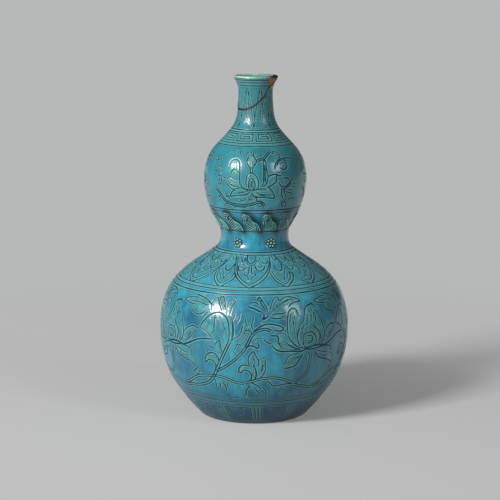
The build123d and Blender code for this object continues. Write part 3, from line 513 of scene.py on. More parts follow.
# One blade of the neck
NECK_STROKES = strokes(
    (0.6, 0, -48.6, 257.4, -47.4, 263, -45, 270, -41.6, 277, -37.6, 284, -33, 289.6, -30, 292),
    (0.6, 0, -4.4, 257.4, -7.6, 264, -11.6, 271, -16, 278, -20.6, 284, -25.6, 289.4, -30, 292),
    (0.55, 1.3, -26.4, 257.6, -26.2, 266, -26.8, 275, -28, 284, -30, 291),
    (0.4, 0, -40, 273, -37.4, 279, -34.6, 284.6),
    (0.4, 0, -19, 272, -22.4, 279, -26, 285),
    (0.5, 0, -1.8, 258, -2.6, 264.6, -4.6, 271.6, -7, 278, -8.6, 284, -8.8, 289),
)

# One panel of the foot
FOOT_STROKES = strokes(
    (0.9, 0, -2.4, 18.8, -1.5, 12, -0.7, 5),
    (0.9, 0, 1, 18.8, 1.6, 12, 2, 5),
    (0.9, 0, 3.9, 18.8, 4.5, 12, 5, 5),
    (0.9, 0, 6.6, 18.8, 7.3, 12, 8.2, 5),
    (0.9, 0, 9.4, 19.2, 15, 18.9, 20.6, 18.6, 26, 19.2),
    (1.1, 0, 16, 14.4, 16.6, 11.4, 18.6, 10.2, 20.6, 11.2, 21, 14),
    (0.9, 0, 18, 16.4, 19.6, 17.6, 21.4, 16.8, 21, 15, 19.2, 14.9),
    (0.7, 0, 12.4, 16.6, 13.2, 14.6, 14.6, 15.8),
)
FOOT_AREAS = areas(
    (-2.4, 18.8, -0.7, 5, 8.2, 5, 6.6, 18.8),
)

# Break in the neck and the fill in the lip, seen from their sides, as in the solid model
BREAK_FRONT_TURN = 20.0
BREAK_BACK_TURN = 70.0
BREAK_BACK_DROP = 19.9
BREAK_BACK_SLOPE = 42.6
BREAK_FRONT = (
    (-1.700, 1.010), (-1.010, 1.000), (-0.893, 0.993), (-0.687, 0.945), (-0.427, 0.863), (-0.240, 0.788),
    (-0.037, 0.685), (0.157, 0.600), (0.307, 0.497), (0.433, 0.377), (0.573, 0.308), (1.000, 0.140),
    (1.700, -0.070),
)
FILL_EDGE = (
    (-0.570, -0.300), (-0.520, 0.163), (-0.405, 0.610), (-0.238, 1.000), (-0.187, 0.740), (-0.114, 0.478),
    (0.078, 0.348), (0.337, 0.283), (0.570, 0.174), (0.750, -0.300),
)
# Outline of a leaf, up from the foot and over the hooded top: (share of half the width, share of the height)
SPRIG_OUTLINE = (
    (0.13, 0.00), (-0.10, 0.21), (-0.38, 0.45), (-0.60, 0.60), (-0.58, 0.80), (-0.40, 0.95), (0.00, 1.00),
    (0.42, 0.95), (0.78, 0.80), (1.05, 0.60), (1.62, 0.45), (1.87, 0.21), (1.97, 0.00),
)
# Where the right side of that outline starts, and the cuts in the leaf, in millimetres across and up
SPRIG_RIGHT = 6
SPRIG_CUTS = (
    ((0.2, 0.5), (-0.1, 4.0), (-0.9, 8.0), (-1.2, 11.4)),
    ((-2.7, 9.4), (-2.6, 12.6), (-1.2, 15.0), (1.2, 15.2), (3.0, 13.4)),
    ((-1.3, 11.4), (-0.6, 13.4), (0.8, 13.9), (1.9, 12.6), (1.5, 11.0), (0.4, 10.8)),
    ((8.7, 0.7), (8.1, 4.2)),
    ((10.2, 0.7), (9.6, 3.2)),
)


def natural_spline(knots: Array, values: Array) -> Callable[[Array], Array]:
    """Interpolates with a natural cubic spline.

    Args:
        knots: rising parameters.
        values: the values there.

    Returns:
        A function from parameters to values.
    """
    steps = np.diff(knots)
    slopes = np.diff(values) / steps
    count = len(knots)
    system = np.zeros((count, count))
    right = np.zeros(count)
    system[0, 0] = system[-1, -1] = 1.0
    for i in range(1, count - 1):
        system[i, i - 1 : i + 2] = steps[i - 1], 2 * (steps[i - 1] + steps[i]), steps[i]
        right[i] = 6 * (slopes[i] - slopes[i - 1])
    bends = np.linalg.solve(system, right)

    def value(where: Array) -> Array:
        """Evaluates the spline.

        Args:
            where: parameters.

        Returns:
            The values there.
        """
        i = np.clip(np.searchsorted(knots, where) - 1, 0, count - 2)
        after = where - knots[i]
        before = knots[i + 1] - where
        curve = (bends[i] * before**3 + bends[i + 1] * after**3) / (6 * steps[i])
        line = (values[i] / steps[i] - bends[i] * steps[i] / 6) * before
        return curve + line + (values[i + 1] / steps[i] - bends[i + 1] * steps[i] / 6) * after

    return value


def running_length(points: Array) -> Array:
    """Returns the length along a polyline at each of its points."""
    return np.concatenate(([0.0], np.cumsum(np.linalg.norm(np.diff(points, axis=0), axis=1))))


class Outline:
    """The turned outline of the vase as dense tables over height, in millimetres."""

    def __init__(self) -> None:
        """Builds the tables from the anchors and the station shares."""
        stations, walls = [], []
        for (low, low_radius, low_wall), (high, high_radius, high_wall), shares in zip(
            ANCHORS, ANCHORS[1:], STATION_SHARES
        ):
            for rise, change in ((0.0, 0.0), *shares):
                stations.append((low_radius + change * (high_radius - low_radius), low + rise * (high - low)))
                walls.append(low_wall + rise * (high_wall - low_wall))
        stations.append((ANCHORS[-1][1], ANCHORS[-1][0]))
        walls.append(ANCHORS[-1][2])
        stations = np.array(stations)
        knots = running_length(stations)
        dense = np.linspace(0.0, knots[-1], OUTLINE_STEPS)
        self.radius_table = natural_spline(knots, stations[:, 0])(dense)
        self.height_table = natural_spline(knots, stations[:, 1])(dense)
        wall = np.interp(dense, knots, walls)
        along_r, along_z = np.gradient(self.radius_table), np.gradient(self.height_table)
        length = np.hypot(along_r, along_z)
        self.normal_r, self.normal_z = along_z / length, -along_r / length
        pieces = np.hypot(np.diff(self.radius_table), np.diff(self.height_table))
        self.arc_table = np.concatenate(([0.0], np.cumsum(pieces)))
        middle = (self.radius_table[1:] + self.radius_table[:-1]) / 2
        self.even_table = np.concatenate(([0.0], np.cumsum(pieces / middle)))
        self.inner_r = self.radius_table - wall * self.normal_r
        self.inner_z = self.height_table - wall * self.normal_z

    def radius(self, height: Array) -> Array:
        """Returns the outer radius at a height."""
        return np.interp(height, self.height_table, self.radius_table)

    def arc(self, height: Array) -> Array:
        """Returns the length along the outline up to a height."""
        return np.interp(height, self.height_table, self.arc_table)

    def at_arc(self, arc: Array) -> Array:
        """Returns the height at a length along the outline."""
        return np.interp(arc, self.arc_table, self.height_table)

    def even(self, height: Array) -> Array:
        """Returns the angle-true coordinate of a height, in which the wall unrolls without skewing."""
        return np.interp(height, self.height_table, self.even_table)

    def inner_path(self, low: float, high: float, step: float) -> list[Pair]:
        """Follows the inner wall upwards.

        Args:
            low: lower height.
            high: upper height.
            step: about the rise from one point to the next.

        Returns:
            Points of (radius, height).
        """
        order = np.argsort(self.inner_z)
        heights = np.linspace(low, high, max(2, int((high - low) / step) + 1))
        return [(float(np.interp(z, self.inner_z[order], self.inner_r[order])), float(z)) for z in heights]

    def place(self, turn: Array, height: Array, lift: Array | float) -> Array:
        """Places points on the wall, lifted square to it.

        Args:
            turn: angles in radians from the front, positive to +X.
            height: heights in millimetres.
            lift: distances out from the wall.

        Returns:
            An array of points in millimetres, one row each.
        """
        out_r = np.interp(height, self.height_table, self.normal_r)
        out_z = np.interp(height, self.height_table, self.normal_z)
        radius = self.radius(height) + lift * out_r
        return np.stack((radius * np.sin(turn), -radius * np.cos(turn), height + lift * out_z), axis=-1)


OUTLINE = Outline()


def smooth_path(points: Array, corners: bool) -> Array:
    """Draws a line through its points.

    Args:
        points: points as (degrees, millimetres).
        corners: whether the line keeps its corners.

    Returns:
        Close samples of (radians, millimetres).
    """
    even_power, slack = 0.75, 1.1
    scale = np.radians(1.0) * OUTLINE.radius(points[:, 1].mean())
    lengths = np.hypot(np.diff(points[:, 0]) * scale, np.diff(points[:, 1]))
    rounded = len(points) > 2 and not corners
    knots = np.concatenate(([0.0], np.cumsum(lengths ** (even_power if rounded else 1.0))))
    dense = np.linspace(0.0, knots[-1], max(3, int(lengths.sum() * slack / SAMPLE_STEP)))
    if rounded:
        turns, heights = (natural_spline(knots, column)(dense) for column in points.T)
    else:
        turns, heights = (np.interp(dense, knots, column) for column in points.T)
    return np.stack((np.radians(turns), heights), axis=1)


def sideways(curve: Array, offset: float) -> Array:
    """Moves a curve sideways along the wall.

    Args:
        curve: points of (radians, millimetres).
        offset: millimetres to the side.

    Returns:
        The moved points.
    """
    radius = OUTLINE.radius(curve[:, 1])
    arc = OUTLINE.arc(curve[:, 1])
    along = np.gradient(curve[:, 0]) * radius, np.gradient(arc)
    length = np.maximum(np.hypot(*along), TINY)
    turns = curve[:, 0] - offset * along[1] / length / radius
    return np.stack((turns, OUTLINE.at_arc(arc + offset * along[0] / length)), axis=1)


def ring_curve(height: float) -> Array:
    """Draws a turned ring that wavers a little, as a hand-held tool leaves it.

    Args:
        height: the ring's height.

    Returns:
        Close samples of (radians, millimetres).
    """
    turns = np.linspace(-math.pi, math.pi, 1 + int(FULL_TURN * OUTLINE.radius(height) / SAMPLE_STEP))
    waver = sum(size * np.sin(waves * turns + shift * height) for size, waves, shift in RING_WAVES)
    return np.stack((turns, height + waver), axis=1)


def goes_round(curve: Array) -> bool:
    """Says whether a curve is a whole ring."""
    return abs(curve[-1, 0] - curve[0, 0]) > FULL_TURN - 0.01


def neck_hatching() -> list[Stroke]:
    """Draws the short slanting cuts on both halves of one neck blade.

    Returns:
        The cuts, from the foot up.
    """
    steps, fade, first, spacing, rise, width = 7, 5, 258.2, 2.7, 3.4, 0.5
    rows = []
    for i in range(steps):
        low = first + spacing * i
        reach = 1.0 - i / (steps + fade)
        for start, full in ((-29.4, -14.5), (-23.3, 13.5)):
            rows.append((width, 0.0, start, low + rise, start + full * reach, low))
    return strokes(*rows)


def inside_polygon(points: Array, polygon: Array) -> Array:
    """Finds the points that lie inside a polygon.

    Args:
        points: points in two columns.
        polygon: its corners in order.

    Returns:
        True for each point inside.
    """
    x, y = points[:, 0], points[:, 1]
    inside = np.zeros(len(x), bool)
    for (x0, y0), (x1, y1) in zip(polygon, np.roll(polygon, -1, axis=0)):
        crosses = (y0 > y) != (y1 > y)
        rise = y1 - y0 if y1 != y0 else TINY
        inside ^= crosses & (x < (x1 - x0) * (y - y0) / rise + x0)
    return inside


def veins(area: Array) -> list[Array]:
    """Draws the fine bowed veins along a petal or a leaf.

    Args:
        area: its outline as (degrees, millimetres).

    Returns:
        Curves of (radians, millimetres) that stay inside it.
    """
    radius = OUTLINE.radius(area[:, 1].mean())
    flat = area * (math.radians(1.0) * radius, 1.0)
    centre = flat.mean(axis=0)
    axes = np.linalg.svd(flat - centre)[2]
    length, width = (np.ptp((flat - centre) @ axis) for axis in axes)
    share = np.linspace(*VEIN_ENDS, max(4, int(VEIN_LENGTH * length / SAMPLE_STEP)))
    curves = []
    for side in VEIN_SIDES:
        bowed = side * width * (1.0 - VEIN_BOW * share**2)
        spots = centre + np.outer(share * length, axes[0]) + np.outer(bowed, axes[1])
        if length > SHORTEST_VEINED and inside_polygon(spots, flat).all():
            curves.append(np.stack((spots[:, 0] / radius, spots[:, 1]), axis=1))
    return curves


class Carving:
    """All incised lines and cut-back areas of the body, and what they do to the wall."""

    def __init__(self) -> None:
        """Lays out the strokes of every region round the axis, and finds room for looking them up."""
        self.curves: list[tuple[Array, float]] = []
        self.areas: list[Array] = []
        for region, lines, outlines in (
            (Region.FOOT, FOOT_STROKES, FOOT_AREAS),
            (Region.LOWER, LOWER_STROKES, LOWER_AREAS),
            (Region.LAPPET, LAPPET_STROKES, LAPPET_AREAS),
            (Region.UPPER, UPPER_STROKES, UPPER_AREAS),
            (Region.FRET, FRET_STROKES, []),
            (Region.NECK, NECK_STROKES + neck_hatching(), []),
        ):
            for index in range(region.value[-1]):
                for stroke in lines:
                    self.add(smooth_path(region.repeat(index, stroke.path), stroke.corners), stroke)
                placed = [region.repeat(index, outline) for outline in outlines]
                self.areas += placed
                if region in (Region.LOWER, Region.UPPER):
                    self.curves += [(vein, VEIN_WIDTH) for area in placed for vein in veins(area)]
        for height, width in RING_HEIGHTS:
            self.curves.append((ring_curve(height), width))
        total = sum(len(curve) for curve, _ in self.curves)
        self.tree = KDTree(total)
        self.widths = np.zeros(total)
        index = 0
        for curve, width in self.curves:
            spots = OUTLINE.place(curve[:, 0], curve[:, 1], 0.0)
            for spot, taper in zip(spots, self.tapers(curve, spots)):
                self.tree.insert(spot, index)
                self.widths[index] = width * taper
                index += 1
        self.tree.balance()
        LOG.info("carving: %d lines, %d areas", len(self.curves), len(self.areas))

    def add(self, curve: Array, stroke: Stroke) -> None:
        """Adds one line, or the two sides of a stem.

        Args:
            curve: samples of (radians, millimetres).
            stroke: the stroke, which says how wide and how far apart.
        """
        offsets = (stroke.gap / 2, -stroke.gap / 2) if stroke.gap else (0.0,)
        for offset in offsets:
            self.curves.append((sideways(curve, offset) if offset else curve, stroke.width))

    @staticmethod
    def tapers(curve: Array, spots: Array) -> Array:
        """Thins a line towards its open ends.

        Args:
            curve: samples of (radians, millimetres).
            spots: the same on the wall.

        Returns:
            How much each sample keeps of the line's width.
        """
        if goes_round(curve):
            return np.ones(len(curve))
        length = running_length(spots)
        nearest = np.minimum(length, length[-1] - length)
        return END_WIDTH + END_GROWTH * np.clip(nearest / END_LENGTH, 0, 1) ** END_POWER

    def reading(self, spots: Array) -> tuple[Array, Array]:
        """Looks up the nearest line.

        Args:
            spots: points on the bare wall.

        Returns:
            The distance to the line in line widths, and its width.
        """
        line = np.full(len(spots), FAR_LINE)
        width = np.ones(len(spots))
        for i, spot in enumerate(spots):
            _, found, distance = self.tree.find(spot)
            width[i] = self.widths[found]
            line[i] = min(FAR_LINE, distance / max(width[i], THINNEST_LINE))
        return line, width

    def inside_area(self, turn: Array, height: Array) -> Array:
        """Looks up the petals, leaves and frames.

        Args:
            turn: angles in radians.
            height: heights in millimetres.

        Returns:
            1 where a point lies on one, and 0 on the ground.
        """
        degrees = np.degrees(turn)
        result = np.zeros(len(turn))
        for area in self.areas:
            low, high = area.min(axis=0), area.max(axis=0)
            shifted = low[0] + np.mod(degrees - low[0], 360.0)
            near = np.nonzero((shifted <= high[0]) & (height >= low[1]) & (height <= high[1]))[0]
            if len(near):
                result[near[inside_polygon(np.stack((shifted[near], height[near]), axis=1), area)]] = 1.0
        return result

    def lift(self, turn: Array, height: Array) -> Array:
        """Works out how far the glazed surface stands off the turned outline.

        Args:
            turn: angles in radians.
            height: heights in millimetres.

        Returns:
            Distances in millimetres.
        """
        line, width = self.reading(OUTLINE.place(turn, height, 0.0))
        area = self.inside_area(turn, height)
        groove = GROOVE_DEPTH * np.minimum(width, DEEPEST_WIDTH) * np.exp(-((line / GROOVE_SPREAD) ** 2))
        burr = BURR_HEIGHT * width * np.exp(-(((line - BURR_AT) / BURR_SPREAD) ** 2))
        raised = AREA_LIFT * area * np.clip(line / AREA_EDGE, 0, 1)
        return GLAZE_LIFT + hand_waver(turn, height) - groove + burr + raised

    def rows(self, low: float, high: float) -> Array:
        """Lays rows of points along every line, middle rows first.

        Args:
            low: lower height.
            high: upper height.

        Returns:
            Points of (radians, millimetres).
        """
        rows = []
        for offset in ROW_OFFSETS:
            for curve, width in self.curves:
                if curve[:, 1].max() < low or curve[:, 1].min() > high:
                    continue
                moved = sideways(curve, offset * max(width, NARROWEST_ROWS)) if offset else curve
                step = ROW_STEP * (RING_STEPS if goes_round(curve) else 1.0)
                rows.append(moved[:: max(1, round(step / SAMPLE_STEP))])
        points = np.concatenate(rows)
        points[:, 0] = np.mod(points[:, 0] + math.pi, FULL_TURN) - math.pi
        return points

    def ground(self, low: float, high: float, spacing: float) -> Array:
        """Lays staggered points over the wall, away from the lines.

        Args:
            low: lower height.
            high: upper height.
            spacing: distance between neighbours.

        Returns:
            Points of (radians, millimetres).
        """
        first, last, row_rise, clear = 0.8, 0.5, 0.87, 0.75
        bottom, top = OUTLINE.arc(low) + first * spacing, OUTLINE.arc(high) - last * spacing
        arcs = np.arange(bottom, top, spacing * row_rise)
        rows = []
        for i, arc in enumerate(arcs):
            height = OUTLINE.at_arc(arc)
            count = int(FULL_TURN * OUTLINE.radius(height) / spacing)
            turns = -math.pi + (np.arange(count) + 0.5 * (i % 2)) * FULL_TURN / count
            rows.append(np.stack((turns, np.full(count, height)), axis=1))
        points = np.concatenate(rows)
        line, width = self.reading(OUTLINE.place(points[:, 0], points[:, 1], 0.0))
        return points[line * np.maximum(width, THINNEST_LINE) > clear * spacing]


def hand_waver(turn: Array, height: Array) -> Array:
    """Works out the slight unevenness of the thrown wall.

    Args:
        turn: angles in radians.
        height: heights in millimetres.

    Returns:
        Distances in millimetres.
    """
    waves = sum(
        size * np.sin(count * turn + rise * height + start) for size, count, rise, start in WALL_WAVES
    )
    return waves + THROWING_RIDGE * np.sin(height / RIDGE_SPACING + np.sin(turn))


def thinned(points: Array, cell: float) -> Array:
    """Drops points that share a small cell of the wall with an earlier one.

    Args:
        points: points of (radians, millimetres).
        cell: the cell's size in millimetres.

    Returns:
        The points that stay.
    """
    for shift in (0.0, 0.5):
        spots = OUTLINE.place(points[:, 0], points[:, 1], 0.0) / cell + shift
        _, first = np.unique(np.floor(spots).astype(int), axis=0, return_index=True)
        points = points[np.sort(first)]
    return points


def skin_triangles(points: Array) -> list[tuple[int, int, int]]:
    """Joins points into triangles right round the wall, with no seam.

    Args:
        points: points of (radians, millimetres).

    Returns:
        The triangles' indexes.
    """
    # The strip is cut a little off the back line, since whole triangles are centred on that line
    overlap, off_line, nearest = 0.2, 0.137, 1e-5
    scale = OUTLINE.radius(points[:, 1].mean())
    indexes = np.arange(len(points))
    right = indexes[points[:, 0] > math.pi - overlap]
    left = indexes[points[:, 0] < -math.pi + overlap]
    every = np.concatenate((indexes, right, left))
    turns = np.concatenate((points[:, 0], points[right, 0] - FULL_TURN, points[left, 0] + FULL_TURN))
    evens = OUTLINE.even(points[every, 1])
    flat = [Vector((turn * scale, even * scale)) for turn, even in zip(turns, evens)]
    found, _, faces, origins, _, _ = delaunay_2d_cdt(flat, [], [], 0, nearest)
    source = [every[origin[0]] if origin else -1 for origin in origins]
    left_edge, right_edge = off_line - math.pi * scale, off_line + math.pi * scale
    triangles = []
    for face in faces:
        centre = sum(found[i].x for i in face) / 3
        corners = tuple(int(source[i]) for i in face)
        if left_edge <= centre < right_edge and len(set(corners)) == 3:
            triangles.append(corners)
    return triangles


def even_turns(count: int) -> Array:
    """Returns angles in radians evenly round the axis."""
    return -math.pi + np.arange(count) * FULL_TURN / count


def linked(name: str, data: bpy.types.ID) -> Object:
    """Makes an object and links it.

    Args:
        name: the object's name.
        data: its mesh, lamp or camera.

    Returns:
        The object.
    """
    obj = bpy.data.objects.new(name, data)
    bpy.context.scene.collection.objects.link(obj)
    return obj


class Shell:
    """A closed mesh in the making, in millimetres."""

    def __init__(self) -> None:
        """Starts with no points and no faces."""
        self.spots: list[Array] = []
        self.total = 0
        self.faces: list[tuple[int, ...]] = []
        self.sharp_rows: list[list[int]] = []

    def add_points(self, spots: Array) -> list[int]:
        """Adds points.

        Args:
            spots: the points, one row each.

        Returns:
            Their indexes.
        """
        self.spots.append(spots)
        start = self.total
        self.total += len(spots)
        return list(range(start, self.total))

    def tail(self, start: list[int], path: list[Pair], end: list[int] | None) -> None:
        """Carries a ring on along (radius, height) points, to another ring or closed over the axis.

        Args:
            start: the ring to start from.
            path: the points that the surface passes.
            end: the ring to finish on, or None to close it over the axis at the last point's height.
        """
        turns = even_turns(len(start))
        rows = [start]
        for radius, height in path:
            ring = (radius * np.sin(turns), -radius * np.cos(turns), np.full(len(start), height))
            rows.append(self.add_points(np.stack(ring, axis=1)))
        if end is not None:
            rows.append(end)
        after = [(i, (i + 1) % len(start)) for i in range(len(start))]
        for first, second in zip(rows, rows[1:]):
            self.faces += [(first[i], first[j], second[j], second[i]) for i, j in after]
        if end is None:
            apex = self.add_points(np.array([[0.0, 0.0, path[-1][1]]]))[0]
            self.faces += [(rows[-1][i], rows[-1][j], apex) for i, j in after]

    def build(self, name: str) -> Object:
        """Makes the mesh object, smooth apart from the marked rings.

        Args:
            name: the object's name.

        Returns:
            The object.
        """
        mesh = bpy.data.meshes.new(name)
        mesh.from_pydata((np.concatenate(self.spots) * MM).tolist(), [], self.faces)
        mesh.validate()
        obj = linked(name, mesh)
        work = bmesh.new()
        work.from_mesh(mesh)
        work.verts.ensure_lookup_table()
        bmesh.ops.recalc_face_normals(work, faces=work.faces)
        for face in work.faces:
            face.smooth = True
        for row in self.sharp_rows:
            marked = set(row)
            for index in row:
                for edge in work.verts[index].link_edges:
                    if edge.other_vert(work.verts[index]).index in marked:
                        edge.smooth = False
        open_edges = sum(1 for edge in work.edges if not edge.is_manifold)
        if open_edges:
            LOG.warning("%s has %d edges that aren't shared by two faces", name, open_edges)
        work.to_mesh(mesh)
        work.free()
        return obj


def spots_of(obj: Object) -> Array:
    """Reads an object's points.

    Args:
        obj: the object.

    Returns:
        The points in millimetres, one row each.
    """
    spots = np.zeros(len(obj.data.vertices) * 3)
    obj.data.vertices.foreach_get("co", spots)
    return spots.reshape(-1, 3) / MM


def move_spots(obj: Object, spots: Array) -> None:
    """Puts an object's points at new places in millimetres."""
    obj.data.vertices.foreach_set("co", (spots * MM).ravel())
    obj.data.update()


def store(obj: Object, **readings: Array) -> None:
    """Stores named values on the points.

    Args:
        obj: the object.
        readings: one value for each point, by name.
    """
    for name, values in readings.items():
        layer = obj.data.attributes.new(name, "FLOAT", "POINT")
        layer.data.foreach_set("value", values.astype(np.float32))


def select_only(obj: Object) -> None:
    """Leaves one object selected and active.

    Args:
        obj: the object.
    """
    bpy.ops.object.select_all(action="DESELECT")
    obj.select_set(True)
    bpy.context.view_layer.objects.active = obj


def shaped(obj: Object, *steps: Callable[[], object]) -> Object:
    """Runs edit-mode steps on all of one object, then turns its faces outwards.

    Args:
        obj: the object to shape.
        steps: operators to run with everything selected before the first.

    Returns:
        The same object.
    """
    select_only(obj)
    bpy.ops.object.mode_set(mode="EDIT")
    bpy.ops.mesh.select_all(action="SELECT")
    for step in steps:
        step()
    bpy.ops.mesh.select_all(action="SELECT")
    bpy.ops.mesh.normals_make_consistent(inside=False)
    bpy.ops.object.mode_set(mode="OBJECT")
    return obj


def extruded(obj: Object, way: Vector) -> Object:
    """Extrudes a face into a block.

    Args:
        obj: the object that holds the face.
        way: how far and which way, in metres.

    Returns:
        The same object.
    """
    return shaped(obj, lambda: bpy.ops.mesh.extrude_region_move(TRANSFORM_OT_translate={"value": way}))


def drawn(name: str, spots: list[Triple], closed: bool) -> Object:
    """Makes an object from one outline.

    Args:
        name: the object's name.
        spots: the outline in millimetres.
        closed: whether it is filled with a face, or left a ring of edges.

    Returns:
        The object.
    """
    mesh = bpy.data.meshes.new(name)
    indexes = list(range(len(spots)))
    edges = [] if closed else list(zip(indexes, indexes[1:] + indexes[:1]))
    mesh.from_pydata([Vector(spot) * MM for spot in spots], edges, [indexes] if closed else [])
    return linked(name, mesh)


def spun(name: str, path: list[Pair]) -> Object:
    """Spins a closed profile round the axis.

    Args:
        name: the object's name.
        path: the profile as (radius, height).

    Returns:
        The object.
    """
    steps, merge, crease = 120, 0.02, 50.0
    obj = shaped(
        drawn(name, [(radius, 0.0, height) for radius, height in path], False),
        lambda: bpy.ops.mesh.spin(steps=steps, angle=FULL_TURN, center=(0, 0, 0), axis=(0, 0, 1)),
        lambda: bpy.ops.mesh.select_all(action="SELECT"),
        lambda: bpy.ops.mesh.remove_doubles(threshold=merge * MM),
    )
    bpy.ops.object.shade_smooth_by_angle(angle=math.radians(crease))
    return obj


def copied(obj: Object, name: str) -> Object:
    """Copies an object with its own mesh.

    Args:
        obj: the object.
        name: the copy's name.

    Returns:
        The copy.
    """
    made = linked(name, obj.data.copy())
    made.data.name = name
    return made


def apply_modifier(obj: Object, kind: str, **settings: object) -> Object:
    """Adds one modifier and applies it.

    Args:
        obj: the object.
        kind: the modifier's type.
        settings: its properties.

    Returns:
        The same object.
    """
    modifier = obj.modifiers.new(kind.lower(), kind)
    for key, value in settings.items():
        setattr(modifier, key, value)
    select_only(obj)
    bpy.ops.object.modifier_apply(modifier=modifier.name)
    return obj


def cut(obj: Object, other: Object, operation: str) -> Object:
    """Applies an exact boolean to an object and returns it."""
    return apply_modifier(obj, "BOOLEAN", operation=operation, object=other, solver="EXACT")


def dress(obj: Object, material: Material, slot: str, *nodes: str) -> None:
    """Dresses an object, ties it to the body and lets it stand for solid-model nodes.

    Args:
        obj: the object.
        material: its material.
        slot: the material slot of the record; not used.
        nodes: the nodes that it stands for.
    """
    obj.data.materials.clear()
    obj.data.materials.append(material)
    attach(obj, "root")
    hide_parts(*nodes)
    LOG.info("%s: %d faces in %s", obj.name, len(obj.data.polygons), material.name)


def unwrap_round(obj: Object) -> None:
    """Unwraps a piece that goes round the axis: three strips of the outside, and one for the rest.

    Args:
        obj: the object.
    """
    strip_span, spill, half = 120, 0.015, 180
    mesh = obj.data
    layer = mesh.uv_layers.get("OFBake") or mesh.uv_layers.new(name="OFBake")
    loops = np.zeros(len(mesh.loops), int)
    mesh.loops.foreach_get("vertex_index", loops)
    spots = spots_of(obj)
    turn = np.degrees(np.arctan2(spots[:, 0], -spots[:, 1]))
    reach = np.hypot(spots[:, 0], spots[:, 1])
    outer = OUTLINE.radius(spots[:, 2]) - reach < INNER_DEPTH
    low, high = spots[:, 2].min(), spots[:, 2].max()
    rise = (spots[:, 2] - low) / max(high - low, TINY)
    span = reach / reach.max()
    coordinates = np.zeros((len(loops), 2))
    for polygon in mesh.polygons:
        rows = slice(polygon.loop_start, polygon.loop_start + polygon.loop_total)
        corners = loops[rows]
        turns = turn[corners].copy()
        if turns.max() - turns.min() > half:
            turns[turns < 0] += 2 * half
        if outer[corners].all():
            strip = int(np.clip((turns.mean() + half) // strip_span, 0, 2))
            across = (turns - (strip_span * strip - half)) / strip_span
            coordinates[rows, 0] = 0.02 + 0.96 * np.clip(across, -spill, 1 + spill)
            coordinates[rows, 1] = 0.01 + 0.27 * strip + 0.25 * rise[corners]
        else:
            coordinates[rows, 0] = 0.01 + 0.98 * (turns + half) / (2 * half + 10)
            coordinates[rows, 1] = 0.82 + 0.08 * (rise[corners] + span[corners])
    layer.data.foreach_set("uv", np.clip(coordinates, 0.0, 1.0).astype(np.float32).ravel())


def linear(colour: str) -> tuple[float, float, float, float]:
    """Turns an sRGB hex colour into a linear one.

    Args:
        colour: the colour as #rrggbb.

    Returns:
        Linear red, green, blue and alpha.
    """
    channels = [int(colour[i : i + 2], 16) / 255 for i in (1, 3, 5)]
    converted = [c / 12.92 if c <= 0.04045 else ((c + 0.055) / 1.055) ** 2.4 for c in channels]
    return (*converted, 1.0)


def per_metre(size: float) -> float:
    """Returns how many features of a size in millimetres fit into a metre."""
    return 1 / (size * MM)


SMOOTH = {"interpolation_type": "SMOOTHSTEP"}
COLOURS = {"data_type": "RGBA"}
TIMES = {"operation": "MULTIPLY"}


class Graph:
    """The shader nodes of one material."""

    def __init__(self, name: str) -> None:
        """Makes the material with a Principled shader.

        Args:
            name: the material's name.
        """
        self.material = bpy.data.materials.new(name)
        self.material.use_nodes = True
        self.tree = self.material.node_tree
        self.shader = self.tree.nodes["Principled BSDF"]

    def link(self, node: bpy.types.Node, inputs: dict) -> None:
        """Links or sets some inputs of a node.

        Args:
            node: the node.
            inputs: values or sockets by the input's name or place.
        """
        for key, value in inputs.items():
            if isinstance(value, Socket):
                self.tree.links.new(value, node.inputs[key])
            else:
                node.inputs[key].default_value = value

    def add(self, kind: str, output: str | int, inputs: dict, **settings: object) -> Socket:
        """Adds a node with its settings and links.

        Args:
            kind: the node's type, without its usual start.
            output: which of its outputs to return.
            inputs: values or sockets by the input's name or place.
            settings: the node's own properties.

        Returns:
            The output socket.
        """
        made = self.tree.nodes.new("ShaderNode" + kind)
        for key, value in settings.items():
            setattr(made, key, value)
        self.link(made, inputs)
        return made.outputs[output]

    def layered(self, colour: Socket | tuple, *tones: tuple) -> Socket:
        """Lays tones over a colour, each as strong as a reading says.

        Args:
            colour: the colour underneath.
            tones: for each tone the reading, two values of it, the tone's share at each, and the tone.

        Returns:
            The colour socket.
        """
        for reading, low, high, start, end, tone in tones:
            share = self.add("MapRange", "Result", {0: reading, 1: low, 2: high, 3: start, 4: end}, **SMOOTH)
            colour = self.add("Mix", 2, {0: share, 6: colour, 7: linear(tone)}, **COLOURS)
        return colour


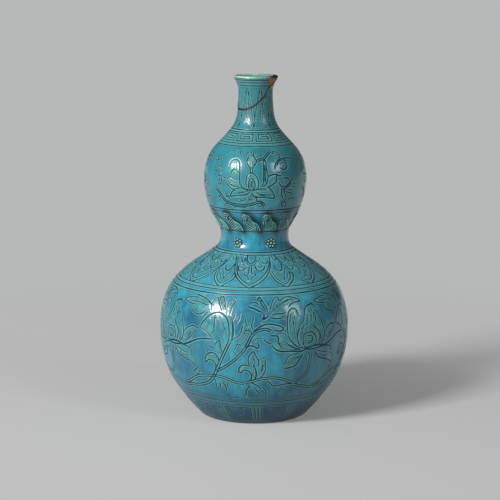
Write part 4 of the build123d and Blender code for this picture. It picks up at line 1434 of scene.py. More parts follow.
@dataclass(frozen=True)
class Glaze:
    """Lead-alkaline turquoise glaze: near black where it pools in cuts, pale where it runs thin off edges.

    Args:
        name: what the finish is.
        hollow: colour in the cuts.
        ground: colour of the flat ground.
        raised: colour on petals and leaves.
        edge: colour beside the cuts.
        deep: colour of thick patches and runs.
        edge_share: how strongly the thin edge shows.
        sunken: colour where the glaze thickens towards a cut.
        pool: colour of the pooled glaze and painted shade beside the leaves.
    """

    name: str
    hollow: str
    ground: str
    raised: str
    edge: str
    deep: str
    edge_share: float
    sunken: str = "#174f68"
    pool: str = "#07222d"

    def material(self) -> Material:
        """Builds the material: the colour lies under a clear coat, so its own gloss is low.

        Returns:
            The material.
        """
        graph = Graph(self.name)
        add = graph.add
        place = add("TexCoord", "Object", {})
        height = add("SeparateXYZ", "Z", {0: place})
        line, area, pool_and_shade_beside_leaves = (
            add("Attribute", "Fac", {}, attribute_name=name)
            for name in ("carved_line", "carved_area", "pooled_glaze")
        )
        body = linear(self.ground)
        # Thick patches of 42 mm, mottling of 8, thin patches of 19, upright runs of 11 and specks of 2 mm
        for size, detail, upright, low, high, share, tone in (
            (42.0, 4.0, 0.6, 0.34, 0.70, 0.72, self.deep),
            (7.7, 6.0, 0.5, 0.36, 0.68, 0.50, "#124f66"),
            (19.0, 5.0, 0.4, 0.48, 0.76, 0.34, "#4ba39f"),
            (11.0, 3.0, 0.13, 0.42, 0.76, 0.56, "#0d3a52"),
            (1.9, 4.0, 0.45, 0.45, 0.70, 0.34, "#16566c"),
        ):
            stretched = add("Mapping", "Vector", {"Vector": place, "Scale": (1.0, 1.0, upright)})
            cloud = add("TexNoise", "Fac", {"Vector": stretched, "Scale": per_metre(size), "Detail": detail})
            body = graph.layered(body, (cloud, low, high, 0.0, share, tone))
        # Painted shade towards the foot and painted light on the shoulder
        body = self.shade_light_and_tones_by_height(graph, height, body)
        # Green patches of 11 mm, where the glaze is thinnest on petals and leaves
        thinner = add("TexNoise", "Fac", {"Vector": place, "Scale": per_metre(11.0), "Detail": 5.0})
        thinner = add("MapRange", "Result", {0: thinner, 1: 0.4, 2: 0.66, 3: 0.12, 4: 0.5}, **SMOOTH)
        on_petal = add("Math", 0, {0: area, 1: thinner}, **TIMES)
        body = add("Mix", 2, {0: on_petal, 6: body, 7: linear(self.raised)}, **COLOURS)
        # The glaze thickens gently towards a cut, then runs thin off its edge
        body = graph.layered(body, (line, 0.9, 3.4, 0.42, 0.0, self.sunken))
        rising = add("MapRange", "Result", {0: line, 1: 0.5, 2: 0.75}, **SMOOTH)
        falling = add("MapRange", "Result", {0: line, 1: 0.85, 2: 1.4, 3: self.edge_share, 4: 0.0}, **SMOOTH)
        thin = add("Math", 0, {0: rising, 1: falling}, **TIMES)
        body = add("Mix", 2, {0: thin, 6: body, 7: linear(self.edge)}, **COLOURS)
        # Beside the leaves the glaze pools, and painted shade darkens their lee further
        body = add("Mix", 2, {0: pool_and_shade_beside_leaves, 6: body, 7: linear(self.pool)}, **COLOURS)
        # The cuts hold more glaze in some stretches than in others, 9 mm long
        pooled = add("MapRange", "Result", {0: line, 1: 0.2, 2: 0.8, 3: 0.95, 4: 0.0}, **SMOOTH)
        uneven = add("TexNoise", "Fac", {"Vector": place, "Scale": per_metre(9.0), "Detail": 3.0})
        uneven = add("MapRange", "Result", {0: uneven, 1: 0.36, 2: 0.6, 3: 0.66, 4: 1.0}, **SMOOTH)
        pooled = add("Math", 0, {0: pooled, 1: uneven}, **TIMES)
        colour = add("Mix", 2, {0: pooled, 6: body, 7: linear(self.hollow)}, **COLOURS)
        # Painted shade inside and on the foot, and painted highlight on the left of the lip
        colour = self.shade_wear_and_bare_ring(graph, place, height, colour)
        # Orange peel of 4 mm on the glassy skin
        grain = add("TexNoise", "Fac", {"Vector": place, "Scale": per_metre(3.8), "Detail": 3.0})
        roughness = add("MapRange", "Result", {0: grain, 1: 0.2, 2: 0.8, 3: 0.30, 4: 0.38}, **SMOOTH)
        peel = add("Bump", 0, {"Height": grain, "Strength": 0.05, "Distance": 0.3 * MM})
        # Thick glaze in the cuts glints less than the smooth skin between them, and the foot is dull
        gloss = add("MapRange", "Result", {0: line, 1: 0.6, 2: 1.5, 3: 0.08, 4: 0.85}, **SMOOTH)
        clean = add("MapRange", "Result", {0: height, 1: 5 * MM, 2: 62 * MM, 3: 0.3, 4: 1.0}, **SMOOTH)
        gloss = add("Math", 0, {0: gloss, 1: clean}, **TIMES)
        graph.link(graph.shader, {
            "Base Color": colour, "Roughness": roughness, "Normal": peel, "Coat Normal": peel,
            "Specular IOR Level": 0.2, "Coat Weight": gloss, "Coat Roughness": 0.17, "Coat IOR": 1.55,
        })
        return graph.material

    @staticmethod
    def shade_light_and_tones_by_height(graph: Graph, height: Socket, colour: Socket) -> Socket:
        """Adds painted shade towards the foot, a darker neck, painted light on the shoulder, and the thin
        glaze of the small bulb.

        Args:
            graph: the material's nodes.
            height: the point's height.
            colour: the glaze's colour so far.

        Returns:
            The colour socket.
        """
        add = graph.add
        # Painted shade darkens the wall towards the foot, and the neck is darker
        colour = graph.layered(
            colour,
            (height, 0.0, 54 * MM, 0.9, 0.0, "#093a54"),
            (height, 250 * MM, 282 * MM, 0.0, 0.62, "#195a68"),
        )
        # Painted light brightens the shoulder of the big bulb, as if lit from above
        below = add("MapRange", "Result", {0: height, 1: 108 * MM, 2: 124 * MM, 3: 0.0, 4: 0.34}, **SMOOTH)
        above = add("MapRange", "Result", {0: height, 1: 142 * MM, 2: 153 * MM, 3: 1.0, 4: 0.0}, **SMOOTH)
        shoulder = add("Math", 0, {0: below, 1: above}, **TIMES)
        colour = add("Mix", 2, {0: shoulder, 6: colour, 7: linear("#4fb0c2")}, **COLOURS)
        return graph.layered(colour, (height, 180 * MM, 205 * MM, 0.0, 0.36, "#2a7f78"))

    @staticmethod
    def shade_wear_and_bare_ring(graph: Graph, place: Socket, height: Socket, colour: Socket) -> Socket:
        """Adds painted shade inside, the worn lip with painted highlight to its left, painted shade on the
        foot, and the bare resting ring with painted contact shade.

        Args:
            graph: the material's nodes.
            place: the point in object space.
            height: the point's height.
            colour: the glaze's colour so far.

        Returns:
            The colour socket.
        """
        add = graph.add
        # Painted shade: the inside is near black deep down and lighter towards the lip
        inner = add("Attribute", "Fac", {}, attribute_name="inner_wall")
        inner = add("Math", 0, {0: inner, 1: 0.9}, **TIMES)
        shaded_lining = graph.layered(linear("#122c2a"), (height, 288 * MM, 300 * MM, 0.0, 1.0, "#447f70"))
        colour = add("Mix", 2, {0: inner, 6: colour, 7: shaded_lining}, **COLOURS)
        # The crest of the lip is worn in patches of 5 mm, and painted highlight makes it paler to the left,
        # on the lamp's side
        crest = add("MapRange", "Result", {0: height, 1: 299.6 * MM, 2: 301.5 * MM}, **SMOOTH)
        patches = add("TexNoise", "Fac", {"Vector": place, "Scale": per_metre(4.8), "Detail": 3.0})
        patches = add("MapRange", "Result", {0: patches, 1: 0.3, 2: 0.62, 3: 0.5, 4: 1.0}, **SMOOTH)
        side = add("SeparateXYZ", "X", {0: place})
        side = add("MapRange", "Result", {0: side, 1: -8 * MM, 2: 12 * MM, 3: 1.0, 4: 0.15}, **SMOOTH)
        wear_and_highlight = add("Math", 0, {0: crest, 1: patches}, **TIMES)
        wear_and_highlight = add("Math", 0, {0: wear_and_highlight, 1: side}, **TIMES)
        colour = add("Mix", 2, {0: wear_and_highlight, 6: colour, 7: linear("#a9c7b2")}, **COLOURS)
        # Painted shade darkens the foot, and the bare resting ring is dark brown clay deepened by painted
        # contact shade
        return graph.layered(
            colour,
            (height, 2 * MM, 40 * MM, 0.5, 0.0, "#0b3448"),
            (height, 0.7 * MM, 2.2 * MM, 1.0, 0.0, "#2e2119"),
        )


@dataclass(frozen=True)
class Blotched:
    """A finish of two tones in blotches, for lacquer and for luting slip.

    Args:
        name: what the finish is.
        dark: one tone.
        light: the other.
        rough: least roughness.
        upright: heights in millimetres between which a darker tone takes over towards the top right, or None.
            dark_top_tone: that tone.
    """

    name: str
    dark: str
    light: str
    rough: float
    upright: Pair | None = None
    dark_top_tone: str = "#1a0f0a"

    def material(self) -> Material:
        """Builds the material, with blotches of 6 mm and a brushed or grainy skin of 2 mm.

        Returns:
            The material.
        """
        graph = Graph(self.name)
        add = graph.add
        place = add("TexCoord", "Object", {})
        blotch = add("TexNoise", "Fac", {"Vector": place, "Scale": per_metre(6.0), "Detail": 4.0})
        colour = graph.layered(linear(self.dark), (blotch, 0.35, 0.65, 0.0, 1.0, self.light))
        if self.upright:
            height, side = (add("SeparateXYZ", axis, {0: place}) for axis in "ZX")
            slanted = add("Math", 0, {0: side, 1: 0.45}, **TIMES)
            slanted = add("Math", 0, {0: height, 1: slanted}, operation="ADD")
            low, high = self.upright
            colour = graph.layered(colour, (slanted, low * MM, high * MM, 0.0, 1.0, self.dark_top_tone))
        skin = add("TexNoise", "Fac", {"Vector": place, "Scale": per_metre(2.0), "Detail": 3.0})
        smooth, rough = self.rough, self.rough + 0.15
        roughness = add("MapRange", "Result", {0: skin, 1: 0.3, 2: 0.7, 3: smooth, 4: rough}, **SMOOTH)
        bump = add("Bump", 0, {"Height": skin, "Strength": 0.25, "Distance": 0.3 * MM})
        graph.link(graph.shader, {"Base Color": colour, "Roughness": roughness, "Normal": bump})
        return graph.material


@dataclass(frozen=True)
class Paper:
    """Pale seamless paper: it takes the vase's shadow, and further off it shows one even tone.

    Args:
        name: what the finish is.
        tone: colour of the paper.
        even: the tone that it fades to.
        near: distance in metres from the vase where the fading starts.
        far: distance where it ends.
        haze: share of the even tone at the vase.
    """

    name: str = "pale seamless paper"
    tone: str = "#c2c4c4"
    even: str = "#b7b8b8"
    near: float = 0.08
    far: float = 0.72
    haze: float = 0.3

    def material(self) -> Material:
        """Builds the material: matt, with no grain that would show at this distance.

        Returns:
            The material.
        """
        graph = Graph(self.name)
        add = graph.add
        graph.link(graph.shader, {
            "Base Color": linear(self.tone), "Roughness": 0.9, "Specular IOR Level": 0.1,
        })
        flat = add("Emission", 0, {"Color": linear(self.even), "Strength": 1.0})
        reach = add("VectorMath", "Value", {0: add("TexCoord", "Object", {})}, operation="LENGTH")
        near, far, haze = self.near, self.far, self.haze
        away = add("MapRange", "Result", {0: reach, 1: near, 2: far, 3: haze, 4: 1.0}, **SMOOTH)
        camera, glossy = (add("LightPath", ray, {}) for ray in ("Is Camera Ray", "Is Glossy Ray"))
        seen = add("Math", 0, {0: camera, 1: glossy}, operation="MAXIMUM")
        shown = add("Math", 0, {0: away, 1: seen}, **TIMES)
        blend = add("MixShader", 0, {0: shown, 1: graph.shader.outputs["BSDF"], 2: flat})
        graph.link(graph.tree.nodes["Material Output"], {"Surface": blend})
        return graph.material


@dataclass
class Body:
    """The thrown sections of both bulbs and the waist, carved and glazed.

    Args:
        carving: the carving of the whole wall.
        glaze: the material.
        foot_bevel: bevel round the foot.
        foot_recess: (radius, height) points under the base.
        cove_top: height where the inner wall starts to round into the floor.
        cove: (radius, height) points from there over the floor.
        inner_step: rise from one ring of the inner wall to the next.
        margin: how far the carved rows keep off a joint.
        cell: size of the cells that keep one point each.
        sections: each section above the base, its joints, points in a ring and distance between points.
    """

    carving: Carving
    glaze: Material
    foot_bevel: float = 1.0
    foot_recess: Path = ((39.5, 0.0), (36.5, 6.0), (18.0, 6.0))
    cove_top: float = 24.0
    cove: Path = ((52.0, 18.0), (44.7, 15.0), (34.0, 14.0), (16.0, 14.0))
    inner_step: float = 3.0
    margin: float = 0.35
    cell: float = 0.27
    sections: tuple[tuple[str, str, str, int, float], ...] = (
        ("lower_bulb_shoulder", "belly", "waist_foot", 360, 2.3),
        ("waist_collar", "waist_foot", "waist_top", 240, 1.9),
        ("upper_bulb_base", "waist_top", "bulb", 280, 1.9),
        ("upper_bulb_shoulder", "bulb", "neck", 280, 1.9),
    )

    def skin(self, low: float, high: float, count: int, spacing: float) -> tuple[Shell, list[int], list[int]]:
        """Builds the carved outer skin between two heights.

        Args:
            low: lower height.
            high: upper height.
            count: points in the rings at both ends.
            spacing: distance between points on the ground.

        Returns:
            The shell, and the indexes of its lower and upper rings.
        """
        rows = self.carving.rows(low, high)
        arc = OUTLINE.arc(rows[:, 1])
        rows = rows[(arc > OUTLINE.arc(low) + self.margin) & (arc < OUTLINE.arc(high) - self.margin)]
        inner = thinned(np.concatenate((rows, self.carving.ground(low, high, spacing))), self.cell)
        ends = [np.stack((even_turns(count), np.full(count, height)), axis=1) for height in (low, high)]
        points = np.concatenate((*ends, inner))
        shell = Shell()
        lift = self.carving.lift(points[:, 0], points[:, 1])
        indexes = shell.add_points(OUTLINE.place(points[:, 0], points[:, 1], lift))
        shell.faces += skin_triangles(points)
        return shell, indexes[:count], indexes[count : 2 * count]

    def base(self) -> Object:
        """Builds the lower half of the big bulb, with the foot ring and the recessed base.

        Returns:
            The section.
        """
        _, top_joint, _, count, spacing = self.sections[0]
        shell, bottom, top = self.skin(JOINTS["foot"], JOINTS[top_joint], count, spacing)
        inner = OUTLINE.inner_path(self.cove_top, JOINTS[top_joint], self.inner_step)[::-1]
        shell.tail(top, [*inner, *self.cove], None)
        shell.tail(bottom, [(ANCHORS[0][1] - self.foot_bevel, 0.0), *self.foot_recess], None)
        shell.sharp_rows.append(top)
        return shell.build("glazed_lower_bulb_base")

    def section(self, name: str, low: float, high: float, count: int, spacing: float) -> Object:
        """Builds a closed section of the wall between two joints.

        Args:
            name: the solid-model node that it stands for.
            low: lower height.
            high: upper height.
            count: points in a ring.
            spacing: distance between points on the ground.

        Returns:
            The section.
        """
        shell, bottom, top = self.skin(low, high, count, spacing)
        shell.tail(top, OUTLINE.inner_path(low, high, self.inner_step)[::-1], bottom)
        shell.sharp_rows += [bottom, top]
        return shell.build(f"glazed_{name}")

    def finish(self, obj: Object, pooled: PooledAndShaded, node: str) -> None:
        """Stores what the glaze takes its colour from, unwraps a section and dresses it.

        Args:
            obj: the section.
            pooled: returns the pooled glaze and painted shade beside the leaves at a turn and a height.
            node: the solid-model node that the section stands for.
        """
        spots = spots_of(obj)
        turn = np.arctan2(spots[:, 0], -spots[:, 1])
        line, _ = self.carving.reading(OUTLINE.place(turn, spots[:, 2], 0.0))
        inside = OUTLINE.radius(spots[:, 2]) - np.hypot(spots[:, 0], spots[:, 1]) > INNER_DEPTH
        store(
            obj,
            carved_line=np.where(inside, FAR_LINE, line),
            carved_area=self.carving.inside_area(turn, spots[:, 2]),
            # Pooled glaze and painted shade beside the leaves, none on the inside
            pooled_glaze=np.where(inside, 0.0, pooled(turn, spots[:, 2])),
            inner_wall=inside,
        )
        unwrap_round(obj)
        dress(obj, self.glaze, "glazed_stoneware", node)

    def build(self, pooled: PooledAndShaded) -> None:
        """Builds and dresses the five sections up to the neck.

        Args:
            pooled: returns the pooled glaze and painted shade beside the leaves at a turn and a height.
        """
        self.finish(self.base(), pooled, "lower_bulb_base")
        for name, low, high, count, spacing in self.sections:
            self.finish(self.section(name, JOINTS[low], JOINTS[high], count, spacing), pooled, name)


@dataclass
class MendedNeck:
    """The neck: what stayed on the vase, the piece that broke out, the seam between them and the fill.

    Args:
        body: the body, which carves and glazes the neck too.
        seam: material of the lacquer in the break.
        lacquer: material of the fill.
        radius: the neck's radius, which the break line is drawn against.
        drop: how far the break runs down from the lip.
        seam_rise: height of the seam.
        spread: how far the lacquer was brushed over the edges.
        fill_radius: the lip's radius, which the fill is drawn against.
        fill_drop: how far the fill runs down from the lip.
        fill_turn: which way the fill faces, in degrees from +X.
        overrun: how far the fill's cutter reaches past the lip.
        count: points in a ring.
        spacing: distance between points on the ground.
        inner_step: rise from one ring of the inner wall to the next.
        plain_low: foot of the plain neck that seam and fill are cut from.
        plain_step: rise from one of its rings to the next.
        block: half the side, number of cells along it, and rise of the block over the break.
        fracture: size of the fracture's roughness, and its waves in a millimetre.
    """

    body: Body
    seam: Material
    lacquer: Material
    radius: float = 15.0
    drop: float = 29.2
    seam_rise: float = 1.3
    spread: float = 0.22
    fill_radius: float = 19.3
    fill_drop: float = 9.2
    fill_turn: float = -20.0
    overrun: float = 6.0
    count: int = 180
    spacing: float = 1.7
    inner_step: float = 1.6
    plain_low: float = 262.0
    plain_step: float = 1.2
    block: tuple[float, int, float] = (27.0, 54, 80.0)
    fracture: Pair = (0.22, 0.45)

    def __post_init__(self) -> None:
        """Rounds the break line into rising shares of the radius and their drops."""
        line = np.array(BREAK_FRONT)
        knots = running_length(line)
        dense = np.linspace(0.0, knots[-1], 200)
        self.shares, self.drops = (natural_spline(knots, column)(dense) for column in line.T)

    @staticmethod
    def over_lip(proud: float) -> list[Pair]:
        """Follows the round crest of the lip from the outside to the inside.

        Args:
            proud: how far outside the real crest.

        Returns:
            Points of (radius, height).
        """
        middle, reach = float(OUTLINE.radius(LIP_CENTRE)) - LIP_WALL / 2, LIP_WALL / 2 + proud
        return [
            (middle + reach * math.cos(angle), LIP_CENTRE + reach * math.sin(angle))
            for angle in np.linspace(0, math.pi, 8)
        ]

    def whole(self) -> Object:
        """Builds the neck and the lip in one, before it is broken.

        Returns:
            The closed neck.
        """
        low = JOINTS["neck"]
        shell, bottom, top = self.body.skin(low, LIP_CENTRE, self.count, self.spacing)
        inner = OUTLINE.inner_path(low, LIP_CENTRE, self.inner_step)[::-1]
        shell.tail(top, self.over_lip(0.0)[1:-1] + inner, bottom)
        shell.sharp_rows.append(bottom)
        return shell.build("whole_neck")

    def break_height(self, x: float, y: float) -> float:
        """Finds the break surface over a point of the neck's plan.

        Args:
            x: the point's x in millimetres.
            y: its y.

        Returns:
            The surface's height.
        """
        front, back = math.radians(BREAK_FRONT_TURN), math.radians(BREAK_BACK_TURN)
        across = (x * math.cos(front) + y * math.sin(front)) / self.radius
        behind = x * math.cos(back) + y * math.sin(back)
        back_height = LIP_HEIGHT - BREAK_BACK_DROP + behind * math.tan(math.radians(BREAK_BACK_SLOPE))
        return max(LIP_HEIGHT - float(np.interp(across, self.shares, self.drops)) * self.drop, back_height)

    def above_break(self, lift: float) -> Object:
        """Makes the block above the break surface, with the fine roughness of a fracture.

        Args:
            lift: how far above the middle of the break the block starts.

        Returns:
            The block.
        """
        reach, cells, rise = self.block
        size, waves = self.fracture
        bpy.ops.mesh.primitive_grid_add(x_subdivisions=cells, y_subdivisions=cells, size=2 * reach * MM)
        block = bpy.context.active_object
        spots = spots_of(block)
        for spot in spots:
            grain = size * noise.noise(Vector((spot[0] * waves, spot[1] * waves, 3.0)))
            spot[2] = self.break_height(spot[0], spot[1]) + lift + grain
        move_spots(block, spots)
        return extruded(block, Vector((0.0, 0.0, rise * MM)))

    def chip(self) -> Object:
        """Makes the block that takes the chip out of the lip.

        Returns:
            The block.
        """
        turn = math.radians(self.fill_turn)
        outward = Vector((math.cos(turn), math.sin(turn), 0.0))
        across = Vector((-math.sin(turn), math.cos(turn), 0.0))
        spots = [
            tuple(across * share * self.fill_radius + Vector((0.0, 0.0, LIP_HEIGHT - drop * self.fill_drop)))
            for share, drop in FILL_EDGE
        ]
        return extruded(drawn("chip", spots, True), outward * (self.fill_radius + self.overrun) * MM)

    def plain(self, name: str, proud: float, inner_proud: float) -> Object:
        """Spins the neck as a plain form, a little fuller than the carved one.

        Args:
            name: the object's name.
            proud: how far it stands out of the wall.
            inner_proud: how far it stands out on the inside.

        Returns:
            The closed form.
        """
        low = self.plain_low
        heights = np.arange(low, LIP_CENTRE, self.plain_step)
        path = [(float(OUTLINE.radius(z)) + proud, float(z)) for z in heights]
        inner = OUTLINE.inner_path(low, LIP_CENTRE, self.inner_step)[-2::-1]
        return spun(name, path + self.over_lip(proud) + [(radius - inner_proud, z) for radius, z in inner])

    def build(self, pooled: PooledAndShaded) -> None:
        """Breaks the neck, mends it and dresses its four pieces.

        Args:
            pooled: returns the pooled glaze and painted shade beside the leaves at a turn and a height.
        """
        neck, chip, half = self.whole(), self.chip(), self.seam_rise / 2
        upper, lower = self.above_break(half), self.above_break(-half)
        stump = cut(cut(copied(neck, "glazed_neck_stump"), lower, "DIFFERENCE"), chip, "DIFFERENCE")
        fragment = cut(cut(copied(neck, "glazed_neck_fragment"), upper, "INTERSECT"), chip, "DIFFERENCE")
        reach = half + self.spread
        brushed_low, brushed_high = self.above_break(-reach), self.above_break(reach)
        seam = cut(self.plain("lacquer_seam", 0.3, 0.2), brushed_low, "INTERSECT")
        cut(cut(seam, brushed_high, "DIFFERENCE"), chip, "DIFFERENCE")
        fill = cut(self.plain("lacquer_fill", 0.2, 0.1), chip, "INTERSECT")
        self.body.finish(stump, pooled, "neck_stump")
        self.body.finish(fragment, pooled, "neck_fragment")
        dress(seam, self.seam, "lacquer_repair", "break_seam")
        dress(fill, self.lacquer, "lacquer_repair", "lip_fill")
        for helper in (neck, upper, lower, brushed_low, brushed_high, chip):
            bpy.data.objects.remove(helper)


@dataclass
class SlipRings:
    """The layers of luting slip in the joints, with the beads that squeezed out on the inside.

    Args:
        slip: the material.
        inset: how far the slip stays behind the glazed face.
        half: half the layer's thickness.
        bead: radius of the bead.
    """

    slip: Material
    inset: float = 1.1
    half: float = 0.3
    bead: float = 1.5

    def build(self) -> None:
        """Spins and dresses one ring for each joint."""
        start = math.asin(self.half / self.bead)
        angles = np.linspace(math.pi / 2 - start, start - math.pi / 2, 9)
        for joint in ("belly", "waist_foot", "waist_top", "bulb", "neck"):
            height = JOINTS[joint]
            outer = float(OUTLINE.radius(height)) - self.inset
            inner = OUTLINE.inner_path(height, height + 1.0, 1.0)[0][0]
            path = [(outer, height - self.half), (outer, height + self.half), (inner, height + self.half)]
            path += [(inner - self.bead * math.cos(a), height + self.bead * math.sin(a)) for a in angles]
            ring = spun(f"slip_{joint}", [*path, (inner, height - self.half)])
            dress(ring, self.slip, "fired_slip", f"{joint}_slip_ring")


@dataclass
class Appliques:
    """Moulded pieces that repeat round the axis: each is made once, and copied by turning.

    Args:
        glaze: the material.
    """

    glaze: Material

    def copies(self, first: Object, name: str, turns: list[float]) -> None:
        """Copies an applique round the axis and dresses the copies.

        Args:
            first: the piece that was made.
            name: name of the solid-model nodes, without their number.
            turns: angles in degrees from the first place.
        """
        for index, turn in enumerate(turns, start=1):
            copy = copied(first, f"glazed_{name}_{index:02d}")
            copy.data.transform(Matrix.Rotation(math.radians(turn), 4, "Z"))
            dress(copy, self.glaze, "applique_glaze", f"{name}_{index:02d}")
        bpy.data.objects.remove(first)


@dataclass
class Rosettes(Appliques):
    """Moulded flowers on the waist: a scalloped disc with a ring of dots round a centre dot.

    Args:
        turns: their places round the axis in degrees.
        height: height of their middles.
        radius: radius of the disc.
        relief: how far the disc stands off the wall.
        sunk: how deep it is pressed in.
        dots: number of dots in the ring.
        dot_ring: radius of the ring.
        dot_radius: radius of a dot.
        centre_radius: radius of the centre dot.
        scallop: how far the disc's edge draws in between dots, against its radius.
        melt: size of the cells in which disc and dots run together.
    """

    turns: tuple[float, ...] = (-28.9, 27.9, 151.1, 207.9)
    height: float = 157.5
    radius: float = 4.4
    relief: float = 0.75
    sunk: float = 0.6
    dots: int = 7
    dot_ring: float = 3.05
    dot_radius: float = 0.98
    centre_radius: float = 1.15
    scallop: float = 0.05
    melt: float = 0.13

    def flower(self) -> Object:
        """Models the flower flat, from a disc and dots that are melted together.

        Returns:
            The flower.
        """
        bpy.ops.object.select_all(action="DESELECT")
        bpy.ops.mesh.primitive_cylinder_add(
            vertices=84, radius=self.radius * MM, depth=(self.relief + self.sunk) * MM,
            location=(0, 0, (self.relief - self.sunk) / 2 * MM),
        )
        flower = bpy.context.active_object
        bpy.ops.object.transform_apply(location=True, rotation=False, scale=False)
        places = [(0.0, 0.0, self.centre_radius)]
        for dot in range(self.dots):
            angle = math.pi / 2 + dot * FULL_TURN / self.dots
            places.append((self.dot_ring * math.cos(angle), self.dot_ring * math.sin(angle), self.dot_radius))
        made = [flower]
        for x, y, radius in places:
            bpy.ops.mesh.primitive_uv_sphere_add(
                segments=24, ring_count=12, radius=radius * MM, location=(x * MM, y * MM, self.relief * MM)
            )
            made.append(bpy.context.active_object)
        for obj in made:
            obj.select_set(True)
        bpy.context.view_layer.objects.active = flower
        bpy.ops.object.join()
        apply_modifier(flower, "REMESH", mode="VOXEL", voxel_size=self.melt * MM)
        return apply_modifier(flower, "SMOOTH", factor=0.5, iterations=3)

    def build(self) -> None:
        """Bends the flower onto the wall, stores its relief and copies it."""
        flower = self.flower()
        flat = spots_of(flower)
        between = 0.5 - 0.5 * np.cos(self.dots * (np.arctan2(flat[:, 1], flat[:, 0]) - math.pi / 2))
        reach = np.clip(np.hypot(flat[:, 0], flat[:, 1]) / self.radius, 0, 1)
        flat[:, :2] *= (1 - self.scallop * between * reach**3)[:, None]
        turn = math.radians(self.turns[0]) + flat[:, 0] / OUTLINE.radius(self.height)
        move_spots(flower, OUTLINE.place(turn, self.height + flat[:, 1], flat[:, 2]))
        select_only(flower)
        bpy.ops.object.shade_smooth()
        # A dot stands 0.7 mm over the disc; the glaze pools between the dots, deepened by painted shade, and
        # the dots are paler where the glaze is thin, helped by painted highlight
        share = np.clip((flat[:, 2] - self.relief - 0.05) / 0.7, 0, 1)
        store(flower, carved_line=0.1 + 1.0 * share, carved_area=share)
        self.copies(flower, "rosette", [turn - self.turns[0] for turn in self.turns])


